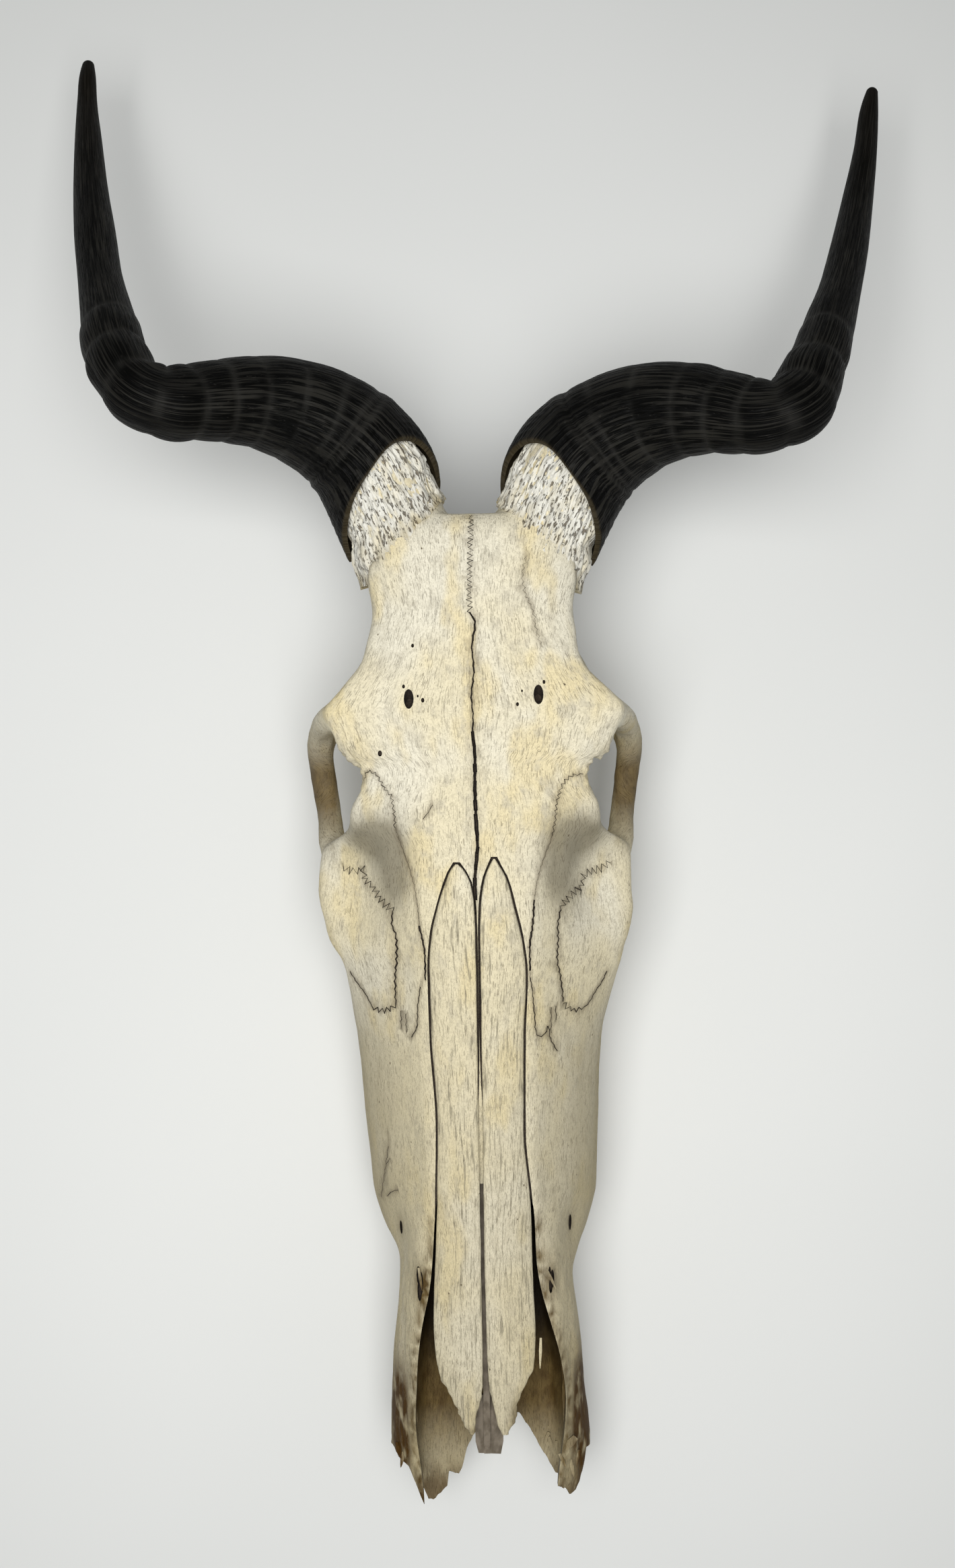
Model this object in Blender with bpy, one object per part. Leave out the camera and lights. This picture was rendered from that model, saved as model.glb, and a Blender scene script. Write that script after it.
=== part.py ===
"""Skull of a young red hartebeest with both horns, lying face up on its back teeth and the back of its base.

The shapes are drawn in the face frame: X across, Y along the face from the nasal tips (0) to the horns,
Z out of the forehead (0 on the flat of the forehead). An empty then tips them into the resting pose.
All lengths are in metres.
"""

import math

import bmesh
import bpy
import numpy as np

# Resting pose: the face slopes down towards the nose by this much, and the box is centred on the origin
REST_TILT = math.radians(7.4)
REST_SHIFT = (-0.0054, -0.2843, 0.1002)
REST_HALF, REST_NEAR, REST_FAR, REST_DEEP = 0.1, 0.28, 0.38, 0.05

# Fit between neighbouring pieces
GAP = 0.0004
VOXEL = 0.0024
FINE_VOXEL = 0.0017
SKULL_TRIANGLES = 4200
SECTION_STEPS = 4
STATION_PITCH = 0.004

# Bone body. Each rail runs from the broken nose to the horns: (along the face, across, out of the face).
BODY_START, BODY_END = -0.052, 0.3755
TOP_MIDDLE = [(-0.052, 0, -0.031), (-0.020, 0, -0.020), (0.060, 0, -0.009), (0.140, 0, -0.003), (0.200, 0, 0),
              (0.300, 0, 0.001), (0.350, 0, 0.001), (0.366, 0, -0.001), (0.3755, 0, -0.009)]
NASAL_EDGE = [(-0.052, 0.024, -0.033), (-0.020, 0.0265, -0.024), (0.020, 0.0275, -0.016), (0.055, 0.025, -0.011),
              (0.075, 0.021, -0.0085), (0.095, 0.019, -0.006), (0.160, 0.0195, -0.004), (0.200, 0.020, -0.002),
              (0.250, 0.022, -0.0005), (0.345, 0.022, 0.0005), (0.366, 0.016, -0.001), (0.3755, 0.009, -0.009)]
BROW_EDGE = [(-0.052, 0.030, -0.038), (-0.020, 0.033, -0.030), (0.020, 0.0325, -0.024), (0.055, 0.030, -0.018),
             (0.095, 0.027, -0.014), (0.150, 0.030, -0.014), (0.190, 0.032, -0.013), (0.215, 0.032, -0.008),
             (0.245, 0.036, -0.005), (0.262, 0.037, -0.0045), (0.280, 0.042, -0.003), (0.294, 0.046, -0.0025),
             (0.305, 0.042, -0.002), (0.320, 0.035, -0.0015), (0.340, 0.032, -0.002), (0.358, 0.030, -0.001),
             (0.370, 0.022, -0.004), (0.3755, 0.014, -0.010)]
ORBIT_SHELF_TOP = [(-0.052, 0.035, -0.045), (-0.020, 0.0375, -0.040), (0.020, 0.037, -0.036),
                   (0.055, 0.034, -0.033), (0.075, 0.033, -0.032), (0.095, 0.037, -0.030), (0.150, 0.041, -0.029),
                   (0.180, 0.045, -0.028), (0.200, 0.050, -0.029), (0.215, 0.048, -0.027), (0.236, 0.046, -0.022),
                   (0.246, 0.0515, -0.014), (0.255, 0.0510, -0.011), (0.260, 0.0475, -0.009),
                   (0.268, 0.0460, -0.0085), (0.272, 0.0480, -0.0080), (0.275, 0.0545, -0.0078),
                   (0.285, 0.0585, -0.0075), (0.293, 0.062, -0.008), (0.301, 0.057, -0.007),
                   (0.310, 0.050, -0.0065), (0.325, 0.0435, -0.007), (0.337, 0.0405, -0.007),
                   (0.348, 0.042, -0.008), (0.358, 0.040, -0.009), (0.368, 0.033, -0.010),
                   (0.3755, 0.019, -0.014)]
CHEEK = [(-0.052, 0.037, -0.050), (-0.020, 0.039, -0.047), (0.020, 0.038, -0.044), (0.055, 0.035, -0.046),
         (0.075, 0.039, -0.048), (0.095, 0.044, -0.047), (0.150, 0.048, -0.046), (0.180, 0.053, -0.044),
         (0.189, 0.0575, -0.042), (0.200, 0.063, -0.040), (0.215, 0.0655, -0.038), (0.236, 0.065, -0.038),
         (0.246, 0.052, -0.024), (0.255, 0.0500, -0.019), (0.260, 0.0465, -0.017), (0.268, 0.0450, -0.016),
         (0.272, 0.0470, -0.0155), (0.275, 0.0535, -0.015), (0.285, 0.0575, -0.014), (0.293, 0.060, -0.015),
         (0.301, 0.055, -0.014), (0.310, 0.0485, -0.014), (0.325, 0.043, -0.016), (0.337, 0.041, -0.016),
         (0.348, 0.042, -0.016), (0.358, 0.040, -0.018), (0.368, 0.033, -0.018), (0.3755, 0.020, -0.020)]
CHEEK_UNDER = [(-0.052, 0.036, -0.055), (-0.020, 0.037, -0.055), (0.020, 0.034, -0.056), (0.055, 0.034, -0.060),
               (0.075, 0.041, -0.062), (0.095, 0.0465, -0.062), (0.150, 0.050, -0.062), (0.180, 0.053, -0.058),
               (0.200, 0.060, -0.054), (0.215, 0.062, -0.052), (0.236, 0.060, -0.053), (0.246, 0.040, -0.040),
               (0.255, 0.034, -0.026), (0.262, 0.032, -0.023), (0.276, 0.032, -0.022), (0.293, 0.036, -0.024),
               (0.310, 0.036, -0.031), (0.325, 0.037, -0.034), (0.337, 0.036, -0.033), (0.348, 0.037, -0.030),
               (0.358, 0.036, -0.028), (0.368, 0.030, -0.027), (0.3755, 0.018, -0.027)]
SIDE_WALL = [(-0.052, 0.032, -0.058), (-0.020, 0.032, -0.059), (0.020, 0.029, -0.061), (0.055, 0.030, -0.068),
             (0.075, 0.038, -0.072), (0.095, 0.045, -0.075), (0.150, 0.049, -0.080), (0.180, 0.050, -0.084),
             (0.192, 0.046, -0.086), (0.204, 0.036, -0.074), (0.220, 0.032, -0.066), (0.246, 0.029, -0.062),
             (0.262, 0.027, -0.052), (0.280, 0.028, -0.054), (0.293, 0.032, -0.060), (0.310, 0.037, -0.066),
             (0.325, 0.041, -0.070), (0.337, 0.039, -0.068), (0.348, 0.034, -0.058), (0.358, 0.028, -0.046),
             (0.368, 0.023, -0.037), (0.3755, 0.015, -0.032)]
GUM_OUTER = [(-0.052, 0.024, -0.060), (-0.020, 0.024, -0.062), (0.020, 0.022, -0.064), (0.055, 0.026, -0.073),
             (0.075, 0.033, -0.079), (0.095, 0.040, -0.084), (0.150, 0.045, -0.096), (0.180, 0.046, -0.102),
             (0.190, 0.042, -0.102), (0.200, 0.028, -0.100), (0.220, 0.022, -0.098), (0.262, 0.019, -0.088),
             (0.280, 0.020, -0.092), (0.293, 0.022, -0.102), (0.310, 0.026, -0.104), (0.325, 0.028, -0.104),
             (0.337, 0.024, -0.098), (0.348, 0.019, -0.080), (0.358, 0.014, -0.058), (0.368, 0.012, -0.044),
             (0.3755, 0.008, -0.035)]
GUM_INNER = [(-0.052, 0.012, -0.060), (-0.020, 0.012, -0.062), (0.020, 0.012, -0.064), (0.055, 0.016, -0.072),
             (0.075, 0.020, -0.077), (0.095, 0.023, -0.082), (0.150, 0.026, -0.094), (0.180, 0.028, -0.100),
             (0.190, 0.026, -0.100), (0.200, 0.017, -0.099), (0.220, 0.012, -0.097), (0.240, 0.010, -0.090),
             (0.262, 0.009, -0.088), (0.280, 0.010, -0.094), (0.293, 0.011, -0.106), (0.325, 0.012, -0.114),
             (0.337, 0.010, -0.106), (0.348, 0.009, -0.086), (0.358, 0.007, -0.062), (0.368, 0.006, -0.046),
             (0.3755, 0.004, -0.036)]
PALATE_MIDDLE = [(-0.052, 0, -0.058), (0.020, 0, -0.059), (0.055, 0, -0.063), (0.095, 0, -0.071),
                 (0.150, 0, -0.080), (0.200, 0, -0.086), (0.220, 0, -0.082), (0.262, 0, -0.083),
                 (0.280, 0, -0.092), (0.293, 0, -0.106), (0.325, 0, -0.115), (0.337, 0, -0.107),
                 (0.348, 0, -0.088), (0.358, 0, -0.064), (0.368, 0, -0.047), (0.3755, 0, -0.037)]
RAILS = [TOP_MIDDLE, NASAL_EDGE, BROW_EDGE, ORBIT_SHELF_TOP, CHEEK, CHEEK_UNDER, SIDE_WALL, GUM_OUTER, GUM_INNER,
         PALATE_MIDDLE]
# How far the widest line of each side lies outside the rails: (along, left, right)
SIDE_GROWTH = [(-0.052, 0.0010, 0.0058), (-0.016, 0.0009, 0.0059), (-0.0045, 0.0011, 0.0053),
               (0.0069, 0.0009, 0.0042), (0.0412, 0.0005, 0.0037), (0.0584, 0, 0.0030), (0.0641, -0.0010, 0.0042),
               (0.0755, 0.0008, 0.0048), (0.0870, 0.0010, 0.0044), (0.0980, 0.0004, 0.0031),
               (0.1270, 0.0012, 0.0023), (0.1560, 0.0019, 0.0024), (0.1671, 0.0026, 0.0038),
               (0.1785, 0.0026, 0.0053), (0.1842, 0.0014, 0.0048), (0.1900, 0, 0.0031), (0.1960, 0.0006, 0.0014),
               (0.2071, 0.0003, 0.0014), (0.2186, 0.0018, 0), (0.2358, 0.0008, 0.0003), (0.2472, 0.0010, 0.0005),
               (0.2600, 0, 0), (0.2950, 0, 0), (0.3029, -0.0008, -0.0016), (0.3084, -0.0012, -0.0030),
               (0.3139, -0.0024, -0.0036), (0.3194, -0.0012, -0.0028), (0.3260, -0.0008, -0.0010),
               (0.3350, 0, 0), (0.3415, 0.0008, 0.0008), (0.3480, 0.0012, 0.0012), (0.3755, 0, 0)]

# Bars and knobs of the bone, for the side at +X: (across, along, out, radius across the bar, radius along it)
ORBIT_RING = [(0.0565, 0.292, -0.011, 0.0065, 0.0055), (0.0612, 0.290, -0.026, 0.0058, 0.0056),
              (0.0642, 0.287, -0.043, 0.0060, 0.0056), (0.0667, 0.279, -0.058, 0.0063, 0.0056),
              (0.0652, 0.264, -0.065, 0.0063, 0.0055), (0.0632, 0.250, -0.062, 0.0060, 0.0054),
              (0.0615, 0.239, -0.053, 0.0060, 0.0062), (0.0582, 0.230, -0.045, 0.0062, 0.0070)]
CHEEK_ARCH = [(0.0662, 0.279, -0.058, 0.0050, 0.0060), (0.0590, 0.293, -0.067, 0.0045, 0.0060),
              (0.0495, 0.306, -0.074, 0.0042, 0.0062), (0.0415, 0.319, -0.079, 0.0050, 0.0070),
              (0.0345, 0.328, -0.082, 0.0070, 0.0080)]
SIDE_SPUR = [(0.030, 0.327, -0.094, 0.009, 0.008), (0.029, 0.326, -0.116, 0.007, 0.006),
             (0.026, 0.323, -0.1470, 0.0036, 0.0036)]
NECK_CREST = [(0.038, 0.334, -0.076, 0.0035, 0.0035), (0.026, 0.347, -0.070, 0.0040, 0.0040),
              (0.000, 0.354, -0.068, 0.0045, 0.0045)]
KNOBS = [((0.015, 0.334, -0.112), (0.0105, 0.011, 0.014)), ((0.022, 0.300, -0.110), (0.008, 0.011, 0.014)),
         ((0.038, 0.309, -0.085), (0.015, 0.009, 0.009))]

# Hollows of the bone
ORBIT_CENTRE, ORBIT_RADII = (0.058, 0.262, -0.038), (0.030, 0.0215, 0.0215)
BRAIN_CENTRE, BRAIN_RADII = (0.0, 0.318, -0.068), (0.030, 0.024, 0.024)
NECK_HOLE_PATH = [(0, 0.318, -0.080, 0.013, 0.013), (0, 0.360, -0.108, 0.014, 0.014)]
THROAT_PATH = [(0, 0.172, -0.064, 0.009, 0.007), (0, 0.195, -0.076, 0.011, 0.010), (0, 0.228, -0.096, 0.012, 0.014)]
NOSE_HOLLOW = [(-0.090, 0.0300, 0.0330, -0.002, -0.049), (-0.020, 0.0300, 0.0345, -0.002, -0.050),
               (0.020, 0.0285, 0.0325, -0.002, -0.052), (0.055, 0.0270, 0.0285, -0.002, -0.056),
               (0.085, 0.0250, 0.0255, -0.003, -0.059), (0.130, 0.0220, 0.0220, -0.006, -0.060),
               (0.165, 0.0150, 0.0150, -0.018, -0.050)]
NOSE_RIM = [(-0.090, 0.0245, 0.0270), (-0.030, 0.0262, 0.0300), (0.000, 0.0288, 0.0335), (0.0078, 0.0284, 0.0338),
            (0.0265, 0.0272, 0.0315), (0.041, 0.0251, 0.0278), (0.056, 0.0219, 0.0238), (0.067, 0.0206, 0.0222),
            (0.088, 0.0190, 0.0214), (0.100, 0.0172, 0.0185)]
BROW_HOLES = [(0.0262, 0.2995, 0.0022, 0.0036), (-0.0265, 0.2985, 0.0022, 0.0036), (-0.0246, 0.3195, 0.0010, 0.0012)]
BROW_HOLE_DEPTH, BROW_HOLE_RAKE, BROW_HOLE_TAPER = 0.006, 0.002, 0.8
CHEEK_HOLE, CHEEK_HOLE_RADII = (0.0385, 0.0830, -0.046), (0.004, 0.006, 0.0022)
NOSE_SILL = -0.034

# Cutters reach this far past the bone
CLEAR_ABOVE, CLEAR_BELOW, CLEAR_FRONT, CLEAR_SIDE = 0.030, -0.090, -0.090, 0.060

# Broken edge of the nose floor seen from above, left to right
BROKEN_EDGE = [(-0.060, -0.0150), (-0.0395, -0.0160), (-0.0313, -0.0230), (-0.0288, -0.0300), (-0.0272, -0.0345),
               (-0.0246, -0.0415), (-0.0225, -0.0420), (-0.0197, -0.0392), (-0.0165, -0.0355), (-0.0157, -0.0294),
               (-0.0115, -0.0312), (-0.0101, -0.0283), (-0.0079, -0.0202), (-0.0052, -0.0142), (0.0060, -0.0030),
               (0.0146, -0.0050), (0.0204, -0.0142), (0.0255, -0.0231), (0.0297, -0.0303), (0.0330, -0.0318),
               (0.0349, -0.0350), (0.0378, -0.0340), (0.0408, -0.0266), (0.0426, -0.0179), (0.060, -0.012)]

# Horns, from the bone outwards: (across, along, out, width across the view, depth), one list for each side
HORN_LEFT = [(-0.0280, 0.3645, -0.0230, 0.0500, 0.0500), (-0.0345, 0.3815, -0.0215, 0.0503, 0.0500),
             (-0.0423, 0.3975, -0.0190, 0.0499, 0.0492), (-0.0556, 0.4097, -0.0150, 0.0465, 0.0473),
             (-0.0745, 0.4178, -0.0080, 0.0408, 0.0428), (-0.0932, 0.4197, 0.0010, 0.0344, 0.0366),
             (-0.1084, 0.4181, 0.0100, 0.0299, 0.0320), (-0.1223, 0.4170, 0.0170, 0.0275, 0.0288),
             (-0.1322, 0.4209, 0.0185, 0.0247, 0.0262), (-0.1387, 0.4305, 0.0130, 0.0236, 0.0248),
             (-0.1434, 0.4411, 0.0030, 0.0252, 0.0243), (-0.1482, 0.4570, -0.0120, 0.0222, 0.0218),
             (-0.1537, 0.4764, -0.0300, 0.0186, 0.0188), (-0.1586, 0.4989, -0.0490, 0.0179, 0.0176),
             (-0.1634, 0.5239, -0.0690, 0.0150, 0.0150), (-0.1670, 0.5499, -0.0870, 0.0120, 0.0120),
             (-0.1697, 0.5720, -0.1020, 0.0088, 0.0088),
             (-0.1704, 0.5870, -0.1090, 0.0070, 0.0070), (-0.1706, 0.5930, -0.1130, 0.0046, 0.0046)]
HORN_RIGHT = [(0.0275, 0.3620, -0.0230, 0.0500, 0.0500), (0.0345, 0.3790, -0.0215, 0.0515, 0.0505),
              (0.0432, 0.3953, -0.0190, 0.0532, 0.0510), (0.0562, 0.4053, -0.0150, 0.0487, 0.0480),
              (0.0711, 0.4118, -0.0080, 0.0435, 0.0438), (0.0878, 0.4133, 0.0010, 0.0376, 0.0384),
              (0.1055, 0.4104, 0.0100, 0.0310, 0.0326), (0.1165, 0.4076, 0.0160, 0.0286, 0.0293),
              (0.1250, 0.4088, 0.0180, 0.0256, 0.0271), (0.1323, 0.4136, 0.0150, 0.0264, 0.0266),
              (0.1365, 0.4226, 0.0090, 0.0242, 0.0248), (0.1425, 0.4342, -0.0010, 0.0221, 0.0226),
              (0.1486, 0.4491, -0.0150, 0.0210, 0.0210), (0.1558, 0.4671, -0.0320, 0.0178, 0.0179),
              (0.1629, 0.4880, -0.0510, 0.0163, 0.0163), (0.1704, 0.5141, -0.0720, 0.0136, 0.0136),
              (0.1766, 0.5401, -0.0860, 0.0103, 0.0103),
              (0.1812, 0.5655, -0.0975, 0.0069, 0.0069), (0.1828, 0.5721, -0.1000, 0.0044, 0.0044)]
RIM_AT = 0.013
RIM_SLANT, RIM_LEAN = 0.0205, 0.011
SLANT_REACH = 0.060
SHEATH_WALL = 0.0024
CAVITY_DEPTH = 0.085
CORE_DEPTH = 0.066
CAVITY_TAPER, CAVITY_END, CAVITY_RINGS = 0.004, 0.006, 9
HORN_SAMPLE = 0.001
HORN_SIDES = 16
HORN_RINGS = [(0.082, 0.0006), (0.097, 0.0008), (0.112, 0.0010), (0.128, 0.0015), (0.144, 0.0017),
              (0.159, 0.0015), (0.175, 0.0008)]
RING_WIDTH = 0.0045
BASE_STATIONS, TIP_STATIONS, TIP_ROUND = 6, 10, 0.0025

# Nasal bones: (along, inner edge, outer edge), and their thickness
NASAL_LEFT = [(-0.0020, -0.0045, -0.0062), (0.006, -0.0030, -0.0105), (0.015, -0.0010, -0.0145),
              (0.020, -0.0006, -0.0178), (0.032, -0.0006, -0.0199), (0.045, -0.0006, -0.0204),
              (0.065, -0.0006, -0.0194), (0.090, -0.0006, -0.0183), (0.125, -0.0008, -0.0174),
              (0.160, -0.0008, -0.0194), (0.188, -0.0008, -0.0198), (0.202, -0.0009, -0.0187),
              (0.213, -0.0012, -0.0160), (0.222, -0.0025, -0.0132), (0.2285, -0.0055, -0.0105)]
NASAL_RIGHT = [(-0.0025, 0.0072, 0.0090), (0.003, 0.0046, 0.0122), (0.010, 0.0033, 0.0136),
               (0.018, 0.0020, 0.0172), (0.024, 0.0016, 0.0203), (0.037, 0.0012, 0.0213), (0.056, 0.0010, 0.0206),
               (0.090, 0.0007, 0.0200), (0.120, 0.0010, 0.0176), (0.160, 0.0010, 0.0182), (0.186, 0.0010, 0.0194),
               (0.200, 0.0010, 0.0179), (0.213, 0.0014, 0.0150), (0.224, 0.0030, 0.0122), (0.231, 0.0058, 0.0085)]
NASAL_THICK = 0.0036
NASAL_TOP = [(-0.010, -0.0050), (0.030, -0.0020), (0.080, 0.0), (0.160, 0.0), (0.200, 0.0010), (0.240, 0.0013)]
NASAL_ARCH = 12.0
NASAL_STEPS = 4
SEPTUM_OUTLINE = [(0.160, -0.010), (0.100, -0.0085), (0.012, -0.0095), (-0.004, -0.0130), (-0.0135, -0.0175),
                  (-0.0120, -0.0260), (0.010, -0.036), (0.060, -0.046), (0.120, -0.046), (0.150, -0.034)]
SEPTUM_MIDDLE, SEPTUM_THICK = 0.0008, 0.0026
TAB_OUTLINE = [(-0.0026, 0.012, -0.0140), (-0.0040, 0.004, -0.0155), (-0.0040, -0.008, -0.0172),
               (-0.0028, -0.0130, -0.0180), (0.0064, -0.0135, -0.0180), (0.0075, -0.008, -0.0172),
               (0.0075, 0.004, -0.0155), (0.0058, 0.012, -0.0140)]
TAB_THICK = 0.0022

# Cheek teeth from the front: (length along the row, width), row line and heights
TEETH = [("premolar_1", 0.011, 0.0095), ("premolar_2", 0.013, 0.0115), ("premolar_3", 0.0135, 0.013),
         ("molar_1", 0.0170, 0.0145), ("molar_2", 0.0200, 0.0155), ("molar_3", 0.0205, 0.0145)]
ROW_LINE = [(0.080, 0.0270), (0.120, 0.0325), (0.150, 0.0358), (0.178, 0.0372)]
ROW_START = 0.0815
TOOTH_SPACE = 0.0006
TOOTH_SIDES, TOOTH_SQUARE, TOOTH_FOLD = 12, 0.75, 0.12
ROOT_SHRINK, NECK_SHRINK = 0.82, 0.97
ROOT_DEPTH = 0.011
CROWN_LINE = [(0.080, -0.0925), (0.110, -0.1040), (0.135, -0.1110), (0.150, -0.1150)]
GUM_LINE = [(0.080, -0.0800), (0.110, -0.0865), (0.150, -0.0955), (0.180, -0.1015)]
GRIND_LEVEL = 0.0

# Finish: base colour, roughness
BONE = ("bone", (0.76, 0.70, 0.56), 0.65)
HORN = ("horn", (0.022, 0.020, 0.019), 0.55)
TOOTH = ("tooth", (0.72, 0.64, 0.48), 0.40)
GRISTLE = ("gristle", (0.48, 0.42, 0.37), 0.70)


def clear_scene():
    for obj in list(bpy.data.objects):
        bpy.data.objects.remove(obj)


def rail(points, at):
    """Value columns of a rail at the given places, on a smooth curve that doesn't overshoot its points."""
    table = np.array(points, dtype=float)
    place, value = table[:, 0], table[:, 1:]
    step = np.diff(place)[:, None]
    slope = np.diff(value, axis=0) / step
    tangent = np.zeros_like(value)
    turn = slope[1:] * slope[:-1] > 0
    tangent[1:-1][turn] = (2 * slope[1:] * slope[:-1] / np.where(turn, slope[1:] + slope[:-1], 1))[turn]
    tangent[0], tangent[-1] = slope[0], slope[-1]
    at = np.clip(np.atleast_1d(at), place[0], place[-1])
    i = np.clip(np.searchsorted(place, at) - 1, 0, len(place) - 2)
    t = ((at - place[i]) / (place[i + 1] - place[i]))[:, None]
    h = step[i]
    return (value[i] * (2 * t**3 - 3 * t**2 + 1) + value[i + 1] * (3 * t**2 - 2 * t**3)
            + h * (tangent[i] * (t**3 - 2 * t**2 + t) + tangent[i + 1] * (t**3 - t**2)))


def path(points, pitch):
    """Points at about the given pitch on a smooth curve through the given ones, with the lengths along it."""
    table = np.array(points, dtype=float)
    gaps = np.linalg.norm(np.diff(table[:, :3], axis=0), axis=1)
    along = np.concatenate([[0], np.cumsum(gaps)])
    at = np.linspace(0, along[-1], max(2, int(round(along[-1] / pitch)) + 1))
    tangent = np.gradient(table, along, axis=0)
    i = np.clip(np.searchsorted(along, at, side="right") - 1, 0, len(along) - 2)
    t = ((at - along[i]) / gaps[i])[:, None]
    h = gaps[i][:, None]
    curve = (table[i] * (2 * t**3 - 3 * t**2 + 1) + table[i + 1] * (3 * t**2 - 2 * t**3)
             + h * (tangent[i] * (t**3 - 2 * t**2 + t) + tangent[i + 1] * (t**3 - t**2)))
    return curve, at


def sample(table, along, at):
    """Row of a table at one place between its rows."""
    return np.array([np.interp(at, along, column) for column in table.T])


def mesh_object(name, points, faces):
    mesh = bpy.data.meshes.new(name)
    mesh.from_pydata([tuple(map(float, p)) for p in points], [], faces)
    obj = bpy.data.objects.new(name, mesh)
    bpy.context.collection.objects.link(obj)
    bm = bmesh.new()
    bm.from_mesh(mesh)
    bmesh.ops.recalc_face_normals(bm, faces=bm.faces)
    bm.to_mesh(mesh)
    bm.free()
    return obj


def loft(name, rings):
    """Closed skin over equal rings of points, with a flat cap on the first and the last."""
    count = len(rings[0])
    points = [p for ring in rings for p in ring]
    faces = [tuple(range(count)), tuple(range(len(points) - count, len(points)))]
    for r in range(len(rings) - 1):
        for k in range(count):
            a, b = r * count + k, r * count + (k + 1) % count
            faces.append((a, b, b + count, a + count))
    return mesh_object(name, points, faces)


def frames(centres):
    """Two directions square to a path at each of its points, carried along without twist."""
    ahead = np.gradient(centres, axis=0)
    ahead /= np.linalg.norm(ahead, axis=1)[:, None]
    side = np.cross(ahead[0], (0.0, 0.0, 1.0))
    sides = []
    for direction in ahead:
        side = side - direction * np.dot(side, direction)
        side = side / np.linalg.norm(side)
        sides.append(side)
    sides = np.array(sides)
    return ahead, sides, np.cross(sides, ahead)


def bar(name, points, sides=12, pitch=0.004):
    """Tapered bar along a path: rows of (x, y, z, radius across, radius along)."""
    curve, _ = path(points, pitch)
    _, across, up = frames(curve[:, :3])
    turn = np.linspace(0, 2 * math.pi, sides, endpoint=False)
    rings = []
    for row, a, b in zip(curve, across, up):
        rings.append([row[:3] + row[3] * math.cos(t) * a + row[4] * math.sin(t) * b for t in turn])
    return loft(name, rings)


def ball(name, centre, radii, segments=24):
    mesh = bpy.data.meshes.new(name)
    bm = bmesh.new()
    bmesh.ops.create_uvsphere(bm, u_segments=segments, v_segments=segments // 2, radius=1)
    bmesh.ops.scale(bm, vec=radii, verts=bm.verts)
    bmesh.ops.translate(bm, vec=centre, verts=bm.verts)
    bm.to_mesh(mesh)
    bm.free()
    obj = bpy.data.objects.new(name, mesh)
    bpy.context.collection.objects.link(obj)
    return obj


def prism(name, outline, low, high):
    """Upright solid over an outline in the XY plane."""
    return loft(name, [[(x, y, z) for x, y in outline] for z in (low, high)])


def mirrored(points):
    return [(-p[0],) + tuple(p[1:]) for p in points]


def both_sides(maker, name, points):
    return [maker(name, points), maker(name, mirrored(points))]


def settle(obj):
    """Turn an object's modifiers into its mesh."""
    bpy.context.view_layer.update()
    shaped = obj.evaluated_get(bpy.context.evaluated_depsgraph_get())
    mesh = bpy.data.meshes.new_from_object(shaped)
    obj.modifiers.clear()
    obj.data = mesh
    return obj


def reskin(obj, voxel, rounds):
    """Even new skin over a closed shape, relaxed by some rounds of smoothing."""
    remesh = obj.modifiers.new("skin", "REMESH")
    remesh.mode, remesh.voxel_size = "VOXEL", voxel
    smooth = obj.modifiers.new("smooth", "SMOOTH")
    smooth.factor, smooth.iterations = 0.5, rounds
    return settle(obj)


def fuse(name, objects, voxel, rounds):
    """One smooth skin round several overlapping shapes."""
    whole = objects[0]
    bm = bmesh.new()
    for obj in objects:
        bm.from_mesh(obj.data)
    mesh = bpy.data.meshes.new(name)
    bm.to_mesh(mesh)
    bm.free()
    for obj in objects[1:]:
        bpy.data.objects.remove(obj)
    whole.name, whole.data = name, mesh
    return reskin(whole, voxel, rounds)


def combine(obj, other, operation):
    boolean = obj.modifiers.new("combine", "BOOLEAN")
    boolean.operation, boolean.solver, boolean.object = operation, "EXACT", other
    settle(obj)
    bpy.data.objects.remove(other)
    return obj


def cut(obj, cutter):
    return combine(obj, cutter, "DIFFERENCE")


def thin_out(obj, triangles):
    mesh = obj.data
    mesh.calc_loop_triangles()
    decimate = obj.modifiers.new("thin", "DECIMATE")
    decimate.ratio = min(1.0, triangles / len(mesh.loop_triangles))
    decimate.use_collapse_triangulate = True
    return settle(obj)


def keep_largest(obj):
    """Drop crumbs that a cut left beside the main body."""
    bm = bmesh.new()
    bm.from_mesh(obj.data)
    left = set(bm.verts)
    shells = []
    while left:
        shell, front = set(), [left.pop()]
        while front:
            vert = front.pop()
            shell.add(vert)
            near = [e.other_vert(vert) for e in vert.link_edges]
            fresh = [v for v in near if v in left]
            left.difference_update(fresh)
            front.extend(fresh)
        shells.append(shell)
    shells.sort(key=len, reverse=True)
    bmesh.ops.delete(bm, geom=[v for shell in shells[1:] for v in shell], context="VERTS")
    bm.to_mesh(obj.data)
    bm.free()
    return obj


def finish(obj, look):
    name, colour, rough = look
    material = bpy.data.materials.get(name) or bpy.data.materials.new(name)
    material.use_nodes = True
    shader = material.node_tree.nodes["Principled BSDF"]
    shader.inputs["Base Color"].default_value = (*colour, 1)
    shader.inputs["Roughness"].default_value = rough
    obj.data.materials.clear()
    obj.data.materials.append(material)
    obj.data.shade_smooth()
    obj.data.set_sharp_from_angle(angle=math.radians(40))
    return obj


def body_ring(at):
    """Cross-section of the bone at one place along the face, all the way round."""
    knots = np.array([rail(points, at)[0] for points in RAILS])
    steps = np.arange(len(knots))
    fine = np.linspace(0, len(knots) - 1, (len(knots) - 1) * SECTION_STEPS + 1)
    half = rail(np.column_stack([steps, knots]), fine)
    half[0, 0] = half[-1, 0] = 0
    wide = half[:, 0].max()
    more_left, more_right = rail(SIDE_GROWTH, at)[0]
    right = [(x + more_right * (x / wide)**2, at, z) for x, z in half]
    left = [(-x - more_left * (x / wide)**2, at, z) for x, z in half[-2:0:-1]]
    return right + left


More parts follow.
